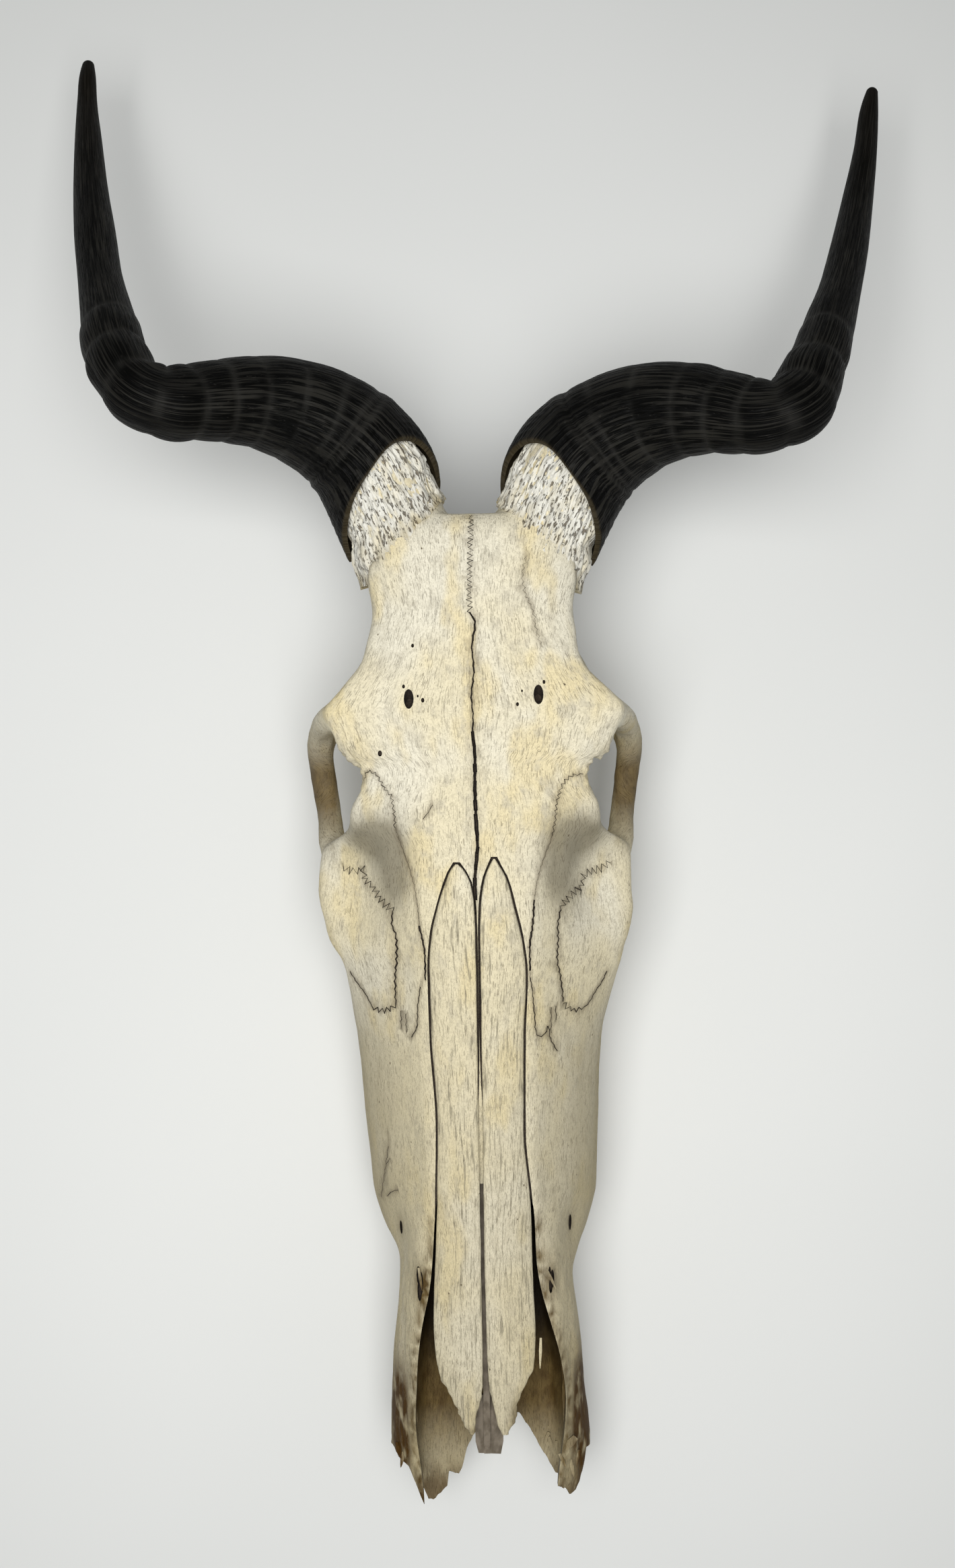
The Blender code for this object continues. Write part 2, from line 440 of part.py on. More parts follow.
def bone_body():
    stations = np.arange(BODY_START, BODY_END + STATION_PITCH / 2, STATION_PITCH)
    return loft("body", [body_ring(at) for at in stations])


def horn_core(name, horn):
    """Bony core of a horn, from inside the skull to inside the sheath."""
    curve, along = path(horn, 0.004)
    start = 2 * np.array(horn[0][:3]) - np.array(horn[1][:3])
    reach = RIM_AT + CORE_DEPTH
    rows = [(*start, 0.018, 0.017)]
    for row, at in zip(curve, along):
        if at < reach:
            slim = SHEATH_WALL + 2 * GAP + 0.0008 * (at > RIM_AT) + 0.004 * max(0, at - RIM_AT) / CORE_DEPTH
            rows.append((*row[:3], row[3] / 2 - slim, row[4] / 2 - slim))
    return bar(name, rows, sides=24)


def horn_radius(row, at, angle):
    """Radius of the sheath at one place, with its raised rings."""
    raised = sum(height * math.exp(-((at - place) / RING_WIDTH) ** 2) for place, height in HORN_RINGS)
    across, deep = row[3] / 2, row[4] / 2
    oval = across * deep / math.hypot(across * math.sin(angle), deep * math.cos(angle))
    return oval + raised


def horn_stations(length):
    """Places along a sheath: steps up to the raised rings, each ring and the dip after it, steps to the tip."""
    peaks = [place for place, height in HORN_RINGS]
    dips = [(a + b) / 2 for a, b in zip(peaks, peaks[1:])]
    margin = peaks[1] - peaks[0]
    base = np.linspace(RIM_AT, peaks[0] - margin / 2, BASE_STATIONS)
    tip = np.linspace(peaks[-1] + margin / 2, length, TIP_STATIONS)
    return sorted([*base, *peaks, *dips, *tip, length - TIP_ROUND])


def horn_sheath(name, horn, grow=0.0):
    """Horn sheath: hollow at its base, solid from the end of the hollow to the tip."""
    curve, along = path(horn, HORN_SAMPLE)
    ahead, across, up = frames(curve[:, :3])
    turn = np.linspace(0, 2 * math.pi, HORN_SIDES, endpoint=False)
    lean = -math.copysign(RIM_LEAN, horn[0][0])

    def ring(at, inset, skew, back):
        points = []
        for angle in turn:
            local = max(0.0, at + skew * (RIM_SLANT * math.sin(angle) + lean * math.cos(angle))) - back
            row, a, b = (sample(table, along, local) for table in (curve, across, up))
            middle = row[:3] + min(0.0, local) * ahead[0]
            radius = horn_radius(row, local, angle) - inset
            points.append(middle + (a * math.cos(angle) + b * math.sin(angle)) * radius)
        return points

    rings = []
    for deep in np.linspace(1, 0, CAVITY_RINGS):
        at = RIM_AT + CAVITY_DEPTH * deep + grow * (deep == 1)
        inset = SHEATH_WALL + CAVITY_TAPER * deep + CAVITY_END * deep**6 + grow
        rings.append(ring(at, inset, 1 - deep, grow * (deep == 0)))
    for at in horn_stations(along[-1]):
        skew = max(0.0, 1 - (at - RIM_AT) / SLANT_REACH)
        rings.append(ring(at, -grow, skew, grow * (at == RIM_AT)))
    return loft(name, rings)


def nasal_bone(name, rows, grow=0.0):
    """Long thin plate, arched across, between an inner and an outer edge."""
    table = np.array(rows)
    rings = []
    first, last = table[0, 0] - grow, table[-1, 0] + grow
    for at in np.concatenate([[first], table[1:-1, 0], [last]]):
        inner, outer = rail(rows, at)[0]
        side = math.copysign(1.0, outer)
        inner, outer = inner - side * grow, outer + side * grow
        base = rail(NASAL_TOP, at)[0][0]
        xs = np.linspace(inner, outer, NASAL_STEPS + 1)
        top = [(x, at, base + grow - NASAL_ARCH * x * x) for x in xs]
        under = [(x, at, base - grow - NASAL_THICK - NASAL_ARCH * x * x) for x in xs[::-1]]
        rings.append(top + under)
    return loft(name, rings)


def septum(name, grow=0.0):
    """Upright plate of gristle and bone under the nasal bones, with a flat tab across its front end."""
    half = SEPTUM_THICK / 2 + grow
    plate = loft(name, [[(SEPTUM_MIDDLE + x, y, z) for y, z in SEPTUM_OUTLINE] for x in (-half, half)])
    thick = TAB_THICK / 2 + grow
    tab = loft("tab", [[(x, y, z + up) for x, y, z in TAB_OUTLINE] for up in (-thick, thick)])
    return combine(plate, tab, "UNION")


def resting_height(y):
    """Level of the surface it rests on, in the face frame, at a place along the face."""
    return (GRIND_LEVEL - REST_SHIFT[2] - y * math.sin(REST_TILT)) / math.cos(REST_TILT)


def resting_block(name):
    """Everything below the surface that the back of the skull rests on."""
    top = [(y, resting_height(y)) for y in (REST_NEAR, REST_FAR)]
    outline = top + [(y, z - REST_DEEP) for y, z in top[::-1]]
    return loft(name, [[(x, y, z) for y, z in outline] for x in (-REST_HALF, REST_HALF)])


def tooth(name, place, length, width, side, grow=0.0):
    """Cheek tooth: two lobes on the outer side, flat grinding face, root in the gum."""
    outline = []
    for k in range(TOOTH_SIDES):
        angle = 2 * math.pi * k / TOOTH_SIDES
        x = math.cos(angle)
        y = math.sin(angle)
        square = max(abs(x), abs(y))
        x, y = x / square**TOOTH_SQUARE, y / square**TOOTH_SQUARE
        fold = 1 - TOOTH_FOLD * (x > 0.6) * math.exp(-(y / 0.25) ** 2)
        outline.append((side * x * fold * (width / 2 + grow), y * (length / 2 + grow)))
    across = side * rail(ROW_LINE, place)[0][0]
    rings = []
    gum = rail(GUM_LINE, place)[0][0]
    for level, shrink in ((gum + ROOT_DEPTH + grow, ROOT_SHRINK), (gum, NECK_SHRINK)):
        rings.append([(across + x * shrink, place + y * shrink, level) for x, y in outline])
    face = []
    for x, y in outline:
        level = min(rail(CROWN_LINE, place + y)[0][0], 0) if place + y < CROWN_LINE[-1][0] else None
        floor = resting_height(place + y)
        level = floor if level is None else max(level, floor)
        face.append((across + x, place + y, level - grow))
    rings.append(face)
    return loft(name, rings)


def tooth_places():
    at = ROW_START
    for name, length, width in TEETH:
        yield name, at + length / 2, length, width
        at += length + TOOTH_SPACE


def nose_hollow(name):
    """Hollow between the side walls of the nose, open on top and in front."""
    rings = []
    for at, left, right, high, low in NOSE_HOLLOW:
        middle, tall = (high + low) / 2, (high - low) / 2
        turn = np.linspace(0, 2 * math.pi, 24, endpoint=False)
        ring = []
        for t in turn:
            c, s = math.cos(t), math.sin(t)
            half = right if c > 0 else left
            power = max(abs(c), abs(s)) ** 0.6
            ring.append((half * c / power, at, middle + tall * s / power))
        rings.append(ring)
    return loft(name, rings)


def nose_mouth(name):
    """Open top of the nose, between the upper rims of its side walls."""
    places = np.linspace(NOSE_RIM[0][0], NOSE_RIM[-1][0], 16)
    halves = rail(NOSE_RIM, places)
    right_edge = [(right, at) for at, (left, right) in zip(places, halves)]
    left_edge = [(-left, at) for at, (left, right) in zip(places, halves)]
    return prism(name, right_edge + left_edge[::-1], NOSE_SILL, CLEAR_ABOVE)


def brow_hole(x, y, wide, tall):
    """Slightly raked pit for a small hole in the forehead."""
    top = (x, y, BROW_HOLE_DEPTH, wide, tall)
    end = (x, y - BROW_HOLE_RAKE, -BROW_HOLE_DEPTH, wide * BROW_HOLE_TAPER, tall * BROW_HOLE_TAPER)
    return bar("brow_hole", [top, end], sides=8, pitch=0.02)


def skull():
    parts = [bone_body()]
    parts += both_sides(bar, "orbit_ring", ORBIT_RING)
    parts += both_sides(bar, "cheek_arch", CHEEK_ARCH)
    parts += both_sides(bar, "side_spur", SIDE_SPUR)
    parts += both_sides(bar, "neck_crest", NECK_CREST)
    for centre, radii in KNOBS:
        parts.append(ball("knob", centre, radii))
        parts.append(ball("knob", (-centre[0], *centre[1:]), radii))
    parts.append(horn_core("core", HORN_LEFT))
    parts.append(horn_core("core", HORN_RIGHT))
    whole = fuse("skull", parts, VOXEL, 6)
    for side in (1, -1):
        cut(whole, ball("orbit", (side * ORBIT_CENTRE[0], *ORBIT_CENTRE[1:]), ORBIT_RADII, 32))
    cut(whole, nose_hollow("nose"))
    cut(whole, nose_mouth("nose_top"))
    cut(whole, bar("throat", THROAT_PATH, pitch=0.012))
    cut(whole, ball("brain", BRAIN_CENTRE, BRAIN_RADII))
    cut(whole, bar("neck_hole", NECK_HOLE_PATH, sides=16, pitch=0.02))
    front = BROKEN_EDGE + [(CLEAR_SIDE, CLEAR_FRONT), (-CLEAR_SIDE, CLEAR_FRONT)]
    cut(whole, prism("broken_nose", front, CLEAR_BELOW, CLEAR_ABOVE))
    keep_largest(reskin(whole, FINE_VOXEL, 2))
    thin_out(whole, SKULL_TRIANGLES)
    cut(whole, resting_block("rest"))
    for hole in BROW_HOLES:
        cut(whole, brow_hole(*hole))
    for side in (1, -1):
        cut(whole, ball("cheek_hole", (side * CHEEK_HOLE[0], *CHEEK_HOLE[1:]), CHEEK_HOLE_RADII, 8))
    cut(whole, nasal_bone("slot", NASAL_LEFT, GAP))
    cut(whole, nasal_bone("slot", NASAL_RIGHT, GAP))
    cut(whole, septum("slot", GAP))
    cut(whole, horn_sheath("slot", HORN_LEFT, GAP))
    cut(whole, horn_sheath("slot", HORN_RIGHT, GAP))
    for side in (1, -1):
        for name, place, length, width in tooth_places():
            cut(whole, tooth("socket", place, length, width, side, GAP))
    keep_largest(whole)
    return finish(whole, BONE)


def main():
    clear_scene()
    rest = bpy.data.objects.new("resting_pose", None)
    bpy.context.collection.objects.link(rest)
    rest.rotation_euler = (REST_TILT, 0, 0)
    rest.location = REST_SHIFT
    pieces = [skull()]
    pieces.append(finish(nasal_bone("nasal_left", NASAL_LEFT), BONE))
    pieces.append(finish(nasal_bone("nasal_right", NASAL_RIGHT), BONE))
    pieces.append(finish(septum("septum"), GRISTLE))
    pieces.append(finish(horn_sheath("horn_sheath_left", HORN_LEFT), HORN))
    pieces.append(finish(horn_sheath("horn_sheath_right", HORN_RIGHT), HORN))
    for side, word in ((-1, "left"), (1, "right")):
        for name, place, length, width in tooth_places():
            pieces.append(finish(tooth(f"{name}_{word}", place, length, width, side), TOOTH))
    for piece in pieces:
        piece.parent = rest


main()
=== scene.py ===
"""Looks of a hartebeest skull: bone, rough horn cores, ringed horn sheaths, teeth, floor, light and camera.

Shapes are drawn in the face frame, in metres: X across, Y along the face from the nasal tips (0) to the
horns, Z out of the forehead (0 on its flat). FACE turns that frame into the world.
"""

import math

import bmesh
import bpy
import numpy as np
from mathutils import Matrix, Vector, noise
from mathutils.bvhtree import BVHTree
from mathutils.kdtree import KDTree


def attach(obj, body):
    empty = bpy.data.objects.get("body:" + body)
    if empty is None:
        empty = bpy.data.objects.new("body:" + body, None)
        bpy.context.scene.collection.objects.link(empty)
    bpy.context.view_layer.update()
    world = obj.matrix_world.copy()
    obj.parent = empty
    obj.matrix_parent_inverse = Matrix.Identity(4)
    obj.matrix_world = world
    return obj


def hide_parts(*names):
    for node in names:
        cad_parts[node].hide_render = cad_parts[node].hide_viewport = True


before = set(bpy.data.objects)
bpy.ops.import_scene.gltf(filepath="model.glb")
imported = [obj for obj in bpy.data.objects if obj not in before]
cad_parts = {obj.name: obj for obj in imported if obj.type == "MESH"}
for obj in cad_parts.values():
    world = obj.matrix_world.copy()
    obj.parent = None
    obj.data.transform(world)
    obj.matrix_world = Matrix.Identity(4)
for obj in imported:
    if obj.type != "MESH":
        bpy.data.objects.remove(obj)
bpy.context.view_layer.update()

# Place of the face frame in the world
REST_TILT = math.radians(7.4)
REST_SHIFT = (-0.0054, -0.2843, 0.1002)
FACE = Matrix.Translation(REST_SHIFT) @ Matrix.Rotation(REST_TILT, 4, "X")

# Fineness of the bone's mesh, gaps round what lies in it, and nudges for cuts that fail
BODY_VOXEL, BODY_ROUNDS, SKIN_ROUNDS = 0.0012, 24, 3
BODY_TRIANGLES = 100000
SECTION_STEPS, STATION_PITCH = 8, 0.003
GAP, SLOT_GAP, SLOT_LIFT = 0.0004, 0.0009, 0.004
CUT_NUDGES = (0.00005, -0.00008, 0.00012, 0)
UP = Vector((0, 0, 1))
# Height above the whole skull, from which the ground below a place is looked for
SKY = 0.08

# Bone body. Each rail runs from the broken nose to the horns: (along the face, across, out of the face).
BODY_START, BODY_END = -0.052, 0.3755
TOP_MIDDLE = [
    (-0.052, 0, -0.031), (-0.02, 0, -0.02), (0.06, 0, -0.009), (0.14, 0, -0.003), (0.2, 0, 0),
    (0.3, 0, 0.001), (0.35, 0, 0.001), (0.366, 0, -0.001), (0.3755, 0, -0.009)]
NASAL_EDGE = [
    (-0.052, 0.024, -0.033), (-0.02, 0.0265, -0.024), (0.02, 0.0275, -0.016), (0.055, 0.025, -0.011),
    (0.075, 0.021, -0.0085), (0.095, 0.019, -0.006), (0.16, 0.0195, -0.004), (0.2, 0.02, -0.002),
    (0.25, 0.022, -0.0005), (0.345, 0.022, 0.0005), (0.366, 0.016, -0.001), (0.3755, 0.009, -0.009)]
BROW_EDGE = [
    (-0.052, 0.03, -0.038), (-0.02, 0.033, -0.03), (0.02, 0.0325, -0.024), (0.055, 0.03, -0.018),
    (0.095, 0.027, -0.014), (0.15, 0.03, -0.014), (0.19, 0.032, -0.013), (0.215, 0.032, -0.008),
    (0.245, 0.036, -0.005), (0.262, 0.037, -0.0045), (0.28, 0.042, -0.003), (0.294, 0.046, -0.0025),
    (0.305, 0.042, -0.002), (0.32, 0.035, -0.0015), (0.34, 0.032, -0.002), (0.358, 0.03, -0.001),
    (0.37, 0.022, -0.004), (0.3755, 0.014, -0.01)]
ORBIT_SHELF_TOP = [
    (-0.052, 0.035, -0.045), (-0.02, 0.0375, -0.04), (0.02, 0.037, -0.036), (0.055, 0.034, -0.033),
    (0.075, 0.033, -0.032), (0.095, 0.037, -0.03), (0.15, 0.041, -0.029), (0.18, 0.045, -0.028),
    (0.2, 0.05, -0.029), (0.215, 0.048, -0.027), (0.236, 0.046, -0.022), (0.246, 0.0515, -0.014),
    (0.255, 0.051, -0.011), (0.26, 0.0475, -0.009), (0.268, 0.046, -0.0085), (0.272, 0.048, -0.008),
    (0.275, 0.0545, -0.0078), (0.285, 0.0585, -0.0075), (0.293, 0.062, -0.008), (0.301, 0.057, -0.007),
    (0.31, 0.05, -0.0065), (0.325, 0.0435, -0.007), (0.337, 0.0405, -0.007), (0.348, 0.042, -0.008),
    (0.358, 0.04, -0.009), (0.368, 0.033, -0.01), (0.3755, 0.019, -0.014)]
CHEEK = [
    (-0.052, 0.037, -0.05), (-0.02, 0.039, -0.047), (0.02, 0.038, -0.044), (0.055, 0.035, -0.046),
    (0.075, 0.039, -0.048), (0.095, 0.044, -0.047), (0.15, 0.048, -0.046), (0.18, 0.053, -0.044),
    (0.189, 0.0575, -0.042), (0.2, 0.063, -0.04), (0.215, 0.0655, -0.038), (0.236, 0.065, -0.038),
    (0.246, 0.052, -0.024), (0.255, 0.05, -0.019), (0.26, 0.0465, -0.017), (0.268, 0.045, -0.016),
    (0.272, 0.047, -0.0155), (0.275, 0.0535, -0.015), (0.285, 0.0575, -0.014), (0.293, 0.06, -0.015),
    (0.301, 0.055, -0.014), (0.31, 0.0485, -0.014), (0.325, 0.043, -0.016), (0.337, 0.041, -0.016),
    (0.348, 0.042, -0.016), (0.358, 0.04, -0.018), (0.368, 0.033, -0.018), (0.3755, 0.02, -0.02)]
CHEEK_UNDER = [
    (-0.052, 0.036, -0.055), (-0.02, 0.037, -0.055), (0.02, 0.034, -0.056), (0.055, 0.034, -0.06),
    (0.075, 0.041, -0.062), (0.095, 0.0465, -0.062), (0.15, 0.05, -0.062), (0.18, 0.053, -0.058),
    (0.2, 0.06, -0.054), (0.215, 0.062, -0.052), (0.236, 0.06, -0.053), (0.246, 0.04, -0.04),
    (0.255, 0.034, -0.026), (0.262, 0.032, -0.023), (0.276, 0.032, -0.022), (0.293, 0.036, -0.024),
    (0.31, 0.036, -0.031), (0.325, 0.037, -0.034), (0.337, 0.036, -0.033), (0.348, 0.037, -0.03),
    (0.358, 0.036, -0.028), (0.368, 0.03, -0.027), (0.3755, 0.018, -0.027)]
SIDE_WALL = [
    (-0.052, 0.032, -0.058), (-0.02, 0.032, -0.059), (0.02, 0.029, -0.061), (0.055, 0.03, -0.068),
    (0.075, 0.038, -0.072), (0.095, 0.045, -0.075), (0.15, 0.049, -0.08), (0.18, 0.05, -0.084),
    (0.192, 0.046, -0.086), (0.204, 0.036, -0.074), (0.22, 0.032, -0.066), (0.246, 0.029, -0.062),
    (0.262, 0.027, -0.052), (0.28, 0.028, -0.054), (0.293, 0.032, -0.06), (0.31, 0.037, -0.066),
    (0.325, 0.041, -0.07), (0.337, 0.039, -0.068), (0.348, 0.034, -0.058), (0.358, 0.028, -0.046),
    (0.368, 0.023, -0.037), (0.3755, 0.015, -0.032)]
GUM_OUTER = [
    (-0.052, 0.024, -0.06), (-0.02, 0.024, -0.062), (0.02, 0.022, -0.064), (0.055, 0.026, -0.073),
    (0.075, 0.033, -0.079), (0.095, 0.04, -0.084), (0.15, 0.045, -0.096), (0.18, 0.046, -0.102),
    (0.19, 0.042, -0.102), (0.2, 0.028, -0.1), (0.22, 0.022, -0.098), (0.262, 0.019, -0.088),
    (0.28, 0.02, -0.092), (0.293, 0.022, -0.102), (0.31, 0.026, -0.104), (0.325, 0.028, -0.104),
    (0.337, 0.024, -0.098), (0.348, 0.019, -0.08), (0.358, 0.014, -0.058), (0.368, 0.012, -0.044),
    (0.3755, 0.008, -0.035)]
GUM_INNER = [
    (-0.052, 0.012, -0.06), (-0.02, 0.012, -0.062), (0.02, 0.012, -0.064), (0.055, 0.016, -0.072),
    (0.075, 0.02, -0.077), (0.095, 0.023, -0.082), (0.15, 0.026, -0.094), (0.18, 0.028, -0.1),
    (0.19, 0.026, -0.1), (0.2, 0.017, -0.099), (0.22, 0.012, -0.097), (0.24, 0.01, -0.09),
    (0.262, 0.009, -0.088), (0.28, 0.01, -0.094), (0.293, 0.011, -0.106), (0.325, 0.012, -0.114),
    (0.337, 0.01, -0.106), (0.348, 0.009, -0.086), (0.358, 0.007, -0.062), (0.368, 0.006, -0.046),
    (0.3755, 0.004, -0.036)]
PALATE_MIDDLE = [
    (-0.052, 0, -0.058), (0.02, 0, -0.059), (0.055, 0, -0.063), (0.095, 0, -0.071), (0.15, 0, -0.08),
    (0.2, 0, -0.086), (0.22, 0, -0.082), (0.262, 0, -0.083), (0.28, 0, -0.092), (0.293, 0, -0.106),
    (0.325, 0, -0.115), (0.337, 0, -0.107), (0.348, 0, -0.088), (0.358, 0, -0.064), (0.368, 0, -0.047),
    (0.3755, 0, -0.037)]
RAILS = [
    TOP_MIDDLE, NASAL_EDGE, BROW_EDGE, ORBIT_SHELF_TOP, CHEEK, CHEEK_UNDER, SIDE_WALL, GUM_OUTER, GUM_INNER,
    PALATE_MIDDLE]
# How far the widest line of each side lies outside the rails: (along, left, right)
SIDE_GROWTH = [
    (-0.052, 0.001, 0.0058), (-0.016, 0.0009, 0.0059), (-0.0045, 0.0011, 0.0053), (0.0069, 0.0009, 0.0042),
    (0.0412, 0.0005, 0.0037), (0.0584, 0, 0.003), (0.0641, -0.001, 0.0042), (0.0755, 0.0008, 0.0048),
    (0.087, 0.001, 0.0044), (0.098, 0.0004, 0.0031), (0.127, 0.0012, 0.0023), (0.156, 0.0019, 0.0024),
    (0.1671, 0.0026, 0.0038), (0.1785, 0.0026, 0.0053), (0.1842, 0.0014, 0.0048), (0.19, 0, 0.0031),
    (0.196, 0.0006, 0.0014), (0.2071, 0.0003, 0.0014), (0.2186, 0.0018, 0), (0.2358, 0.0008, 0.0003),
    (0.2472, 0.001, 0.0005), (0.26, 0, 0), (0.295, 0, 0), (0.3029, -0.0008, -0.0016),
    (0.3084, -0.0012, -0.003), (0.3139, -0.0024, -0.0036), (0.3194, -0.0012, -0.0028),
    (0.326, -0.0008, -0.001), (0.335, 0, 0), (0.3415, 0.0008, 0.0008), (0.348, 0.0012, 0.0012),
    (0.3755, 0, 0)]

# Bars and knobs of the bone, for the side at +X: (across, along, out, radius across the bar, radius along it)
ORBIT_RING = [
    (0.0565, 0.292, -0.011, 0.0065, 0.0055), (0.0612, 0.29, -0.026, 0.0058, 0.0056),
    (0.0642, 0.287, -0.043, 0.006, 0.0056), (0.0667, 0.279, -0.058, 0.0063, 0.0056),
    (0.0652, 0.264, -0.065, 0.0063, 0.0055), (0.0632, 0.25, -0.062, 0.006, 0.0054),
    (0.0615, 0.239, -0.053, 0.006, 0.0062), (0.0582, 0.23, -0.045, 0.0062, 0.007)]
CHEEK_ARCH = [
    (0.0662, 0.279, -0.058, 0.005, 0.006), (0.059, 0.293, -0.067, 0.0045, 0.006),
    (0.0495, 0.306, -0.074, 0.0042, 0.0062), (0.0415, 0.319, -0.079, 0.005, 0.007),
    (0.0345, 0.328, -0.082, 0.007, 0.008)]
SIDE_SPUR = [
    (0.03, 0.327, -0.094, 0.009, 0.008), (0.029, 0.326, -0.116, 0.007, 0.006),
    (0.026, 0.323, -0.147, 0.0036, 0.0036)]
NECK_CREST = [
    (0.038, 0.334, -0.076, 0.0035, 0.0035), (0.026, 0.347, -0.07, 0.004, 0.004),
    (0, 0.354, -0.068, 0.0045, 0.0045)]
KNOBS = [
    ((0.015, 0.334, -0.112), (0.0105, 0.011, 0.014)), ((0.022, 0.3, -0.11), (0.008, 0.011, 0.014)),
    ((0.038, 0.309, -0.085), (0.015, 0.009, 0.009))]

# Hollows of the bone
ORBIT_CENTRE, ORBIT_RADII = (0.058, 0.262, -0.038), (0.030, 0.0215, 0.0215)
BRAIN_CENTRE, BRAIN_RADII = (0.0, 0.318, -0.068), (0.030, 0.024, 0.024)
NECK_HOLE_PATH = [(0, 0.318, -0.080, 0.013, 0.013), (0, 0.360, -0.108, 0.014, 0.014)]
THROAT_PATH = [
    (0, 0.172, -0.064, 0.009, 0.007), (0, 0.195, -0.076, 0.011, 0.01), (0, 0.228, -0.096, 0.012, 0.014)]
NOSE_HOLLOW = [
    (-0.09, 0.03, 0.033, -0.038, -0.049), (-0.02, 0.03, 0.0345, -0.03, -0.05),
    (0.02, 0.0285, 0.0325, -0.0205, -0.052), (0.055, 0.027, 0.0285, -0.014, -0.056),
    (0.085, 0.025, 0.0255, -0.011, -0.059), (0.13, 0.022, 0.022, -0.01, -0.06),
    (0.165, 0.015, 0.015, -0.018, -0.05)]
NOSE_RIM = [
    (-0.09, 0.0245, 0.027), (-0.03, 0.0262, 0.03), (0, 0.0288, 0.0335), (0.0078, 0.0284, 0.0338),
    (0.0265, 0.0272, 0.0315), (0.041, 0.0251, 0.0278), (0.056, 0.0219, 0.0238), (0.067, 0.0206, 0.0222),
    (0.088, 0.019, 0.0214), (0.1, 0.0172, 0.0185)]
RIM_FLOOR, RIM_CEILING = -0.034, 0.030
# Holes of the brow, which run down and forward: (across, along, width, length), then (along, out, size)
BROW_HOLES = [(0.0262, 0.2995, 0.0020, 0.0038), (-0.0265, 0.2985, 0.0020, 0.0038)]
BROW_HOLE_PATH = [(0.001, 0.006, 1), (-0.001, -0.002, 1), (-0.003, -0.009, 0.8)]
BROW_PITS = [
    (-0.0208, 0.2973, 0.0007), (-0.0228, 0.299, 0.0004), (0.0176, 0.2951, 0.0006), (-0.0386, 0.276, 0.0009),
    (-0.0246, 0.3195, 0.0006), (0.0195, 0.3005, 0.0004), (-0.0285, 0.303, 0.0006), (0.0285, 0.304, 0.0006)]
PIT_STRETCH, PIT_DEPTH = 1.4, 0.0030
CHEEK_HOLES = [(-0.0338, 0.0785, -0.034), (0.0369, 0.0790, -0.034)]
CHEEK_HOLE_RADII = (0.0007, 0.0038, 0.0050)
# Holes in the rim of the nose, each of three bites: (how far aside, share of its length along it, size)
RIM_HOLES = [(-0.0258, 0.0585, -0.013, 0.0014, 0.0064), (0.0280, 0.0595, -0.014, 0.0013, 0.0056)]
RIM_BITES = [(-0.0006, 0.5, 0.6), (0.0004, 0.0, 0.8), (-0.0002, -0.5, 0.7)]
RIM_HOLE_DEPTH = 0.0040
BROKEN_EDGE = [
    (-0.06, -0.015), (-0.0395, -0.016), (-0.0313, -0.023), (-0.0288, -0.03), (-0.0272, -0.0345),
    (-0.0246, -0.0415), (-0.0225, -0.042), (-0.0197, -0.0392), (-0.0165, -0.0355), (-0.0157, -0.0294),
    (-0.0115, -0.0312), (-0.0101, -0.0283), (-0.0079, -0.0202), (-0.0052, -0.0142), (0.006, -0.003),
    (0.0146, -0.005), (0.0204, -0.0142), (0.0255, -0.0231), (0.0297, -0.0303), (0.033, -0.0318),
    (0.0349, -0.035), (0.0378, -0.034), (0.0408, -0.0266), (0.0426, -0.0179), (0.06, -0.012)]
# Shards: (across, along, out if below zero or else above the bone, turn in degrees, length, width)
SHARDS = [
    (0.035, -0.0122, 0.001, -42, 0.008, 0.0034), (0.0261, -0.0163, 0.0004, -20, 0.006, 0.0016),
    (0.028, -0.0185, 0.0004, 15, 0.0066, 0.0014), (0.03, -0.0205, 0.0004, -5, 0.007, 0.0016),
    (0.0322, -0.019, 0.0006, 25, 0.007, 0.0014), (0.0362, -0.0235, 0.0004, 10, 0.008, 0.0016),
    (0.0385, -0.02, 0.0004, -12, 0.0075, 0.0014), (-0.0368, -0.016, 0.0004, 8, 0.0065, 0.0014),
    (-0.035, -0.0195, 0.0004, -10, 0.007, 0.0016), (0.0231, 0.0298, -0.0085, -2, 0.013, 0.0012),
    (-0.0256, 0.06, -0.0118, 8, 0.01, 0.0012), (0.0283, 0.059, -0.012, 24, 0.0085, 0.0012)]
# Sections of a shard: (share of its length, share of its width to each side, half thickness)
SHARD_SECTIONS = [(-0.5, 0.35, 0.0004), (-0.1, 0.50, 0.0007), (0.3, 0.30, 0.0005), (0.5, 0.08, 0.0002)]
SHARD_DROP = -0.12
CHIP_STEP, CHIP_LEVEL, CHIP_SIZE, CHIP_FAR = 0.0011, 0.0022, 0.0013, 0.090

# Wear of the bone: swellings and splinters (height, size), then spots (height, place, reach), which are on
# both sides apart from the dent
SWELLINGS = [(0.00030, 0.017), (0.00010, 0.005)]
RAGGED_SHELF, SHELF_SIZE = (0.0026, (0.049, 0.272, -0.011), (0.013, 0.008, 0.008)), 0.0026
NOSE_SPLINTERS, RIM_SPLINTERS = (0.0007, 0.0022), (0.0005, 0.0026)
WAIST_HOLLOWS = [
    (0.0022, (0.0415, 0.242, -0.022), (0.009, 0.0075, 0.03)),
    (0.0015, (0.0325, 0.228, -0.014), (0.005, 0.009, 0.03))]
BROW_DENT = (0.0009, (-0.0246, 0.3195, 0.0), (0.0011, 0.0013, 0.010))
BROW_FURROW = (0.0007, (0.0265, 0.287, 0.0), (0.0022, 0.012, 0.010))

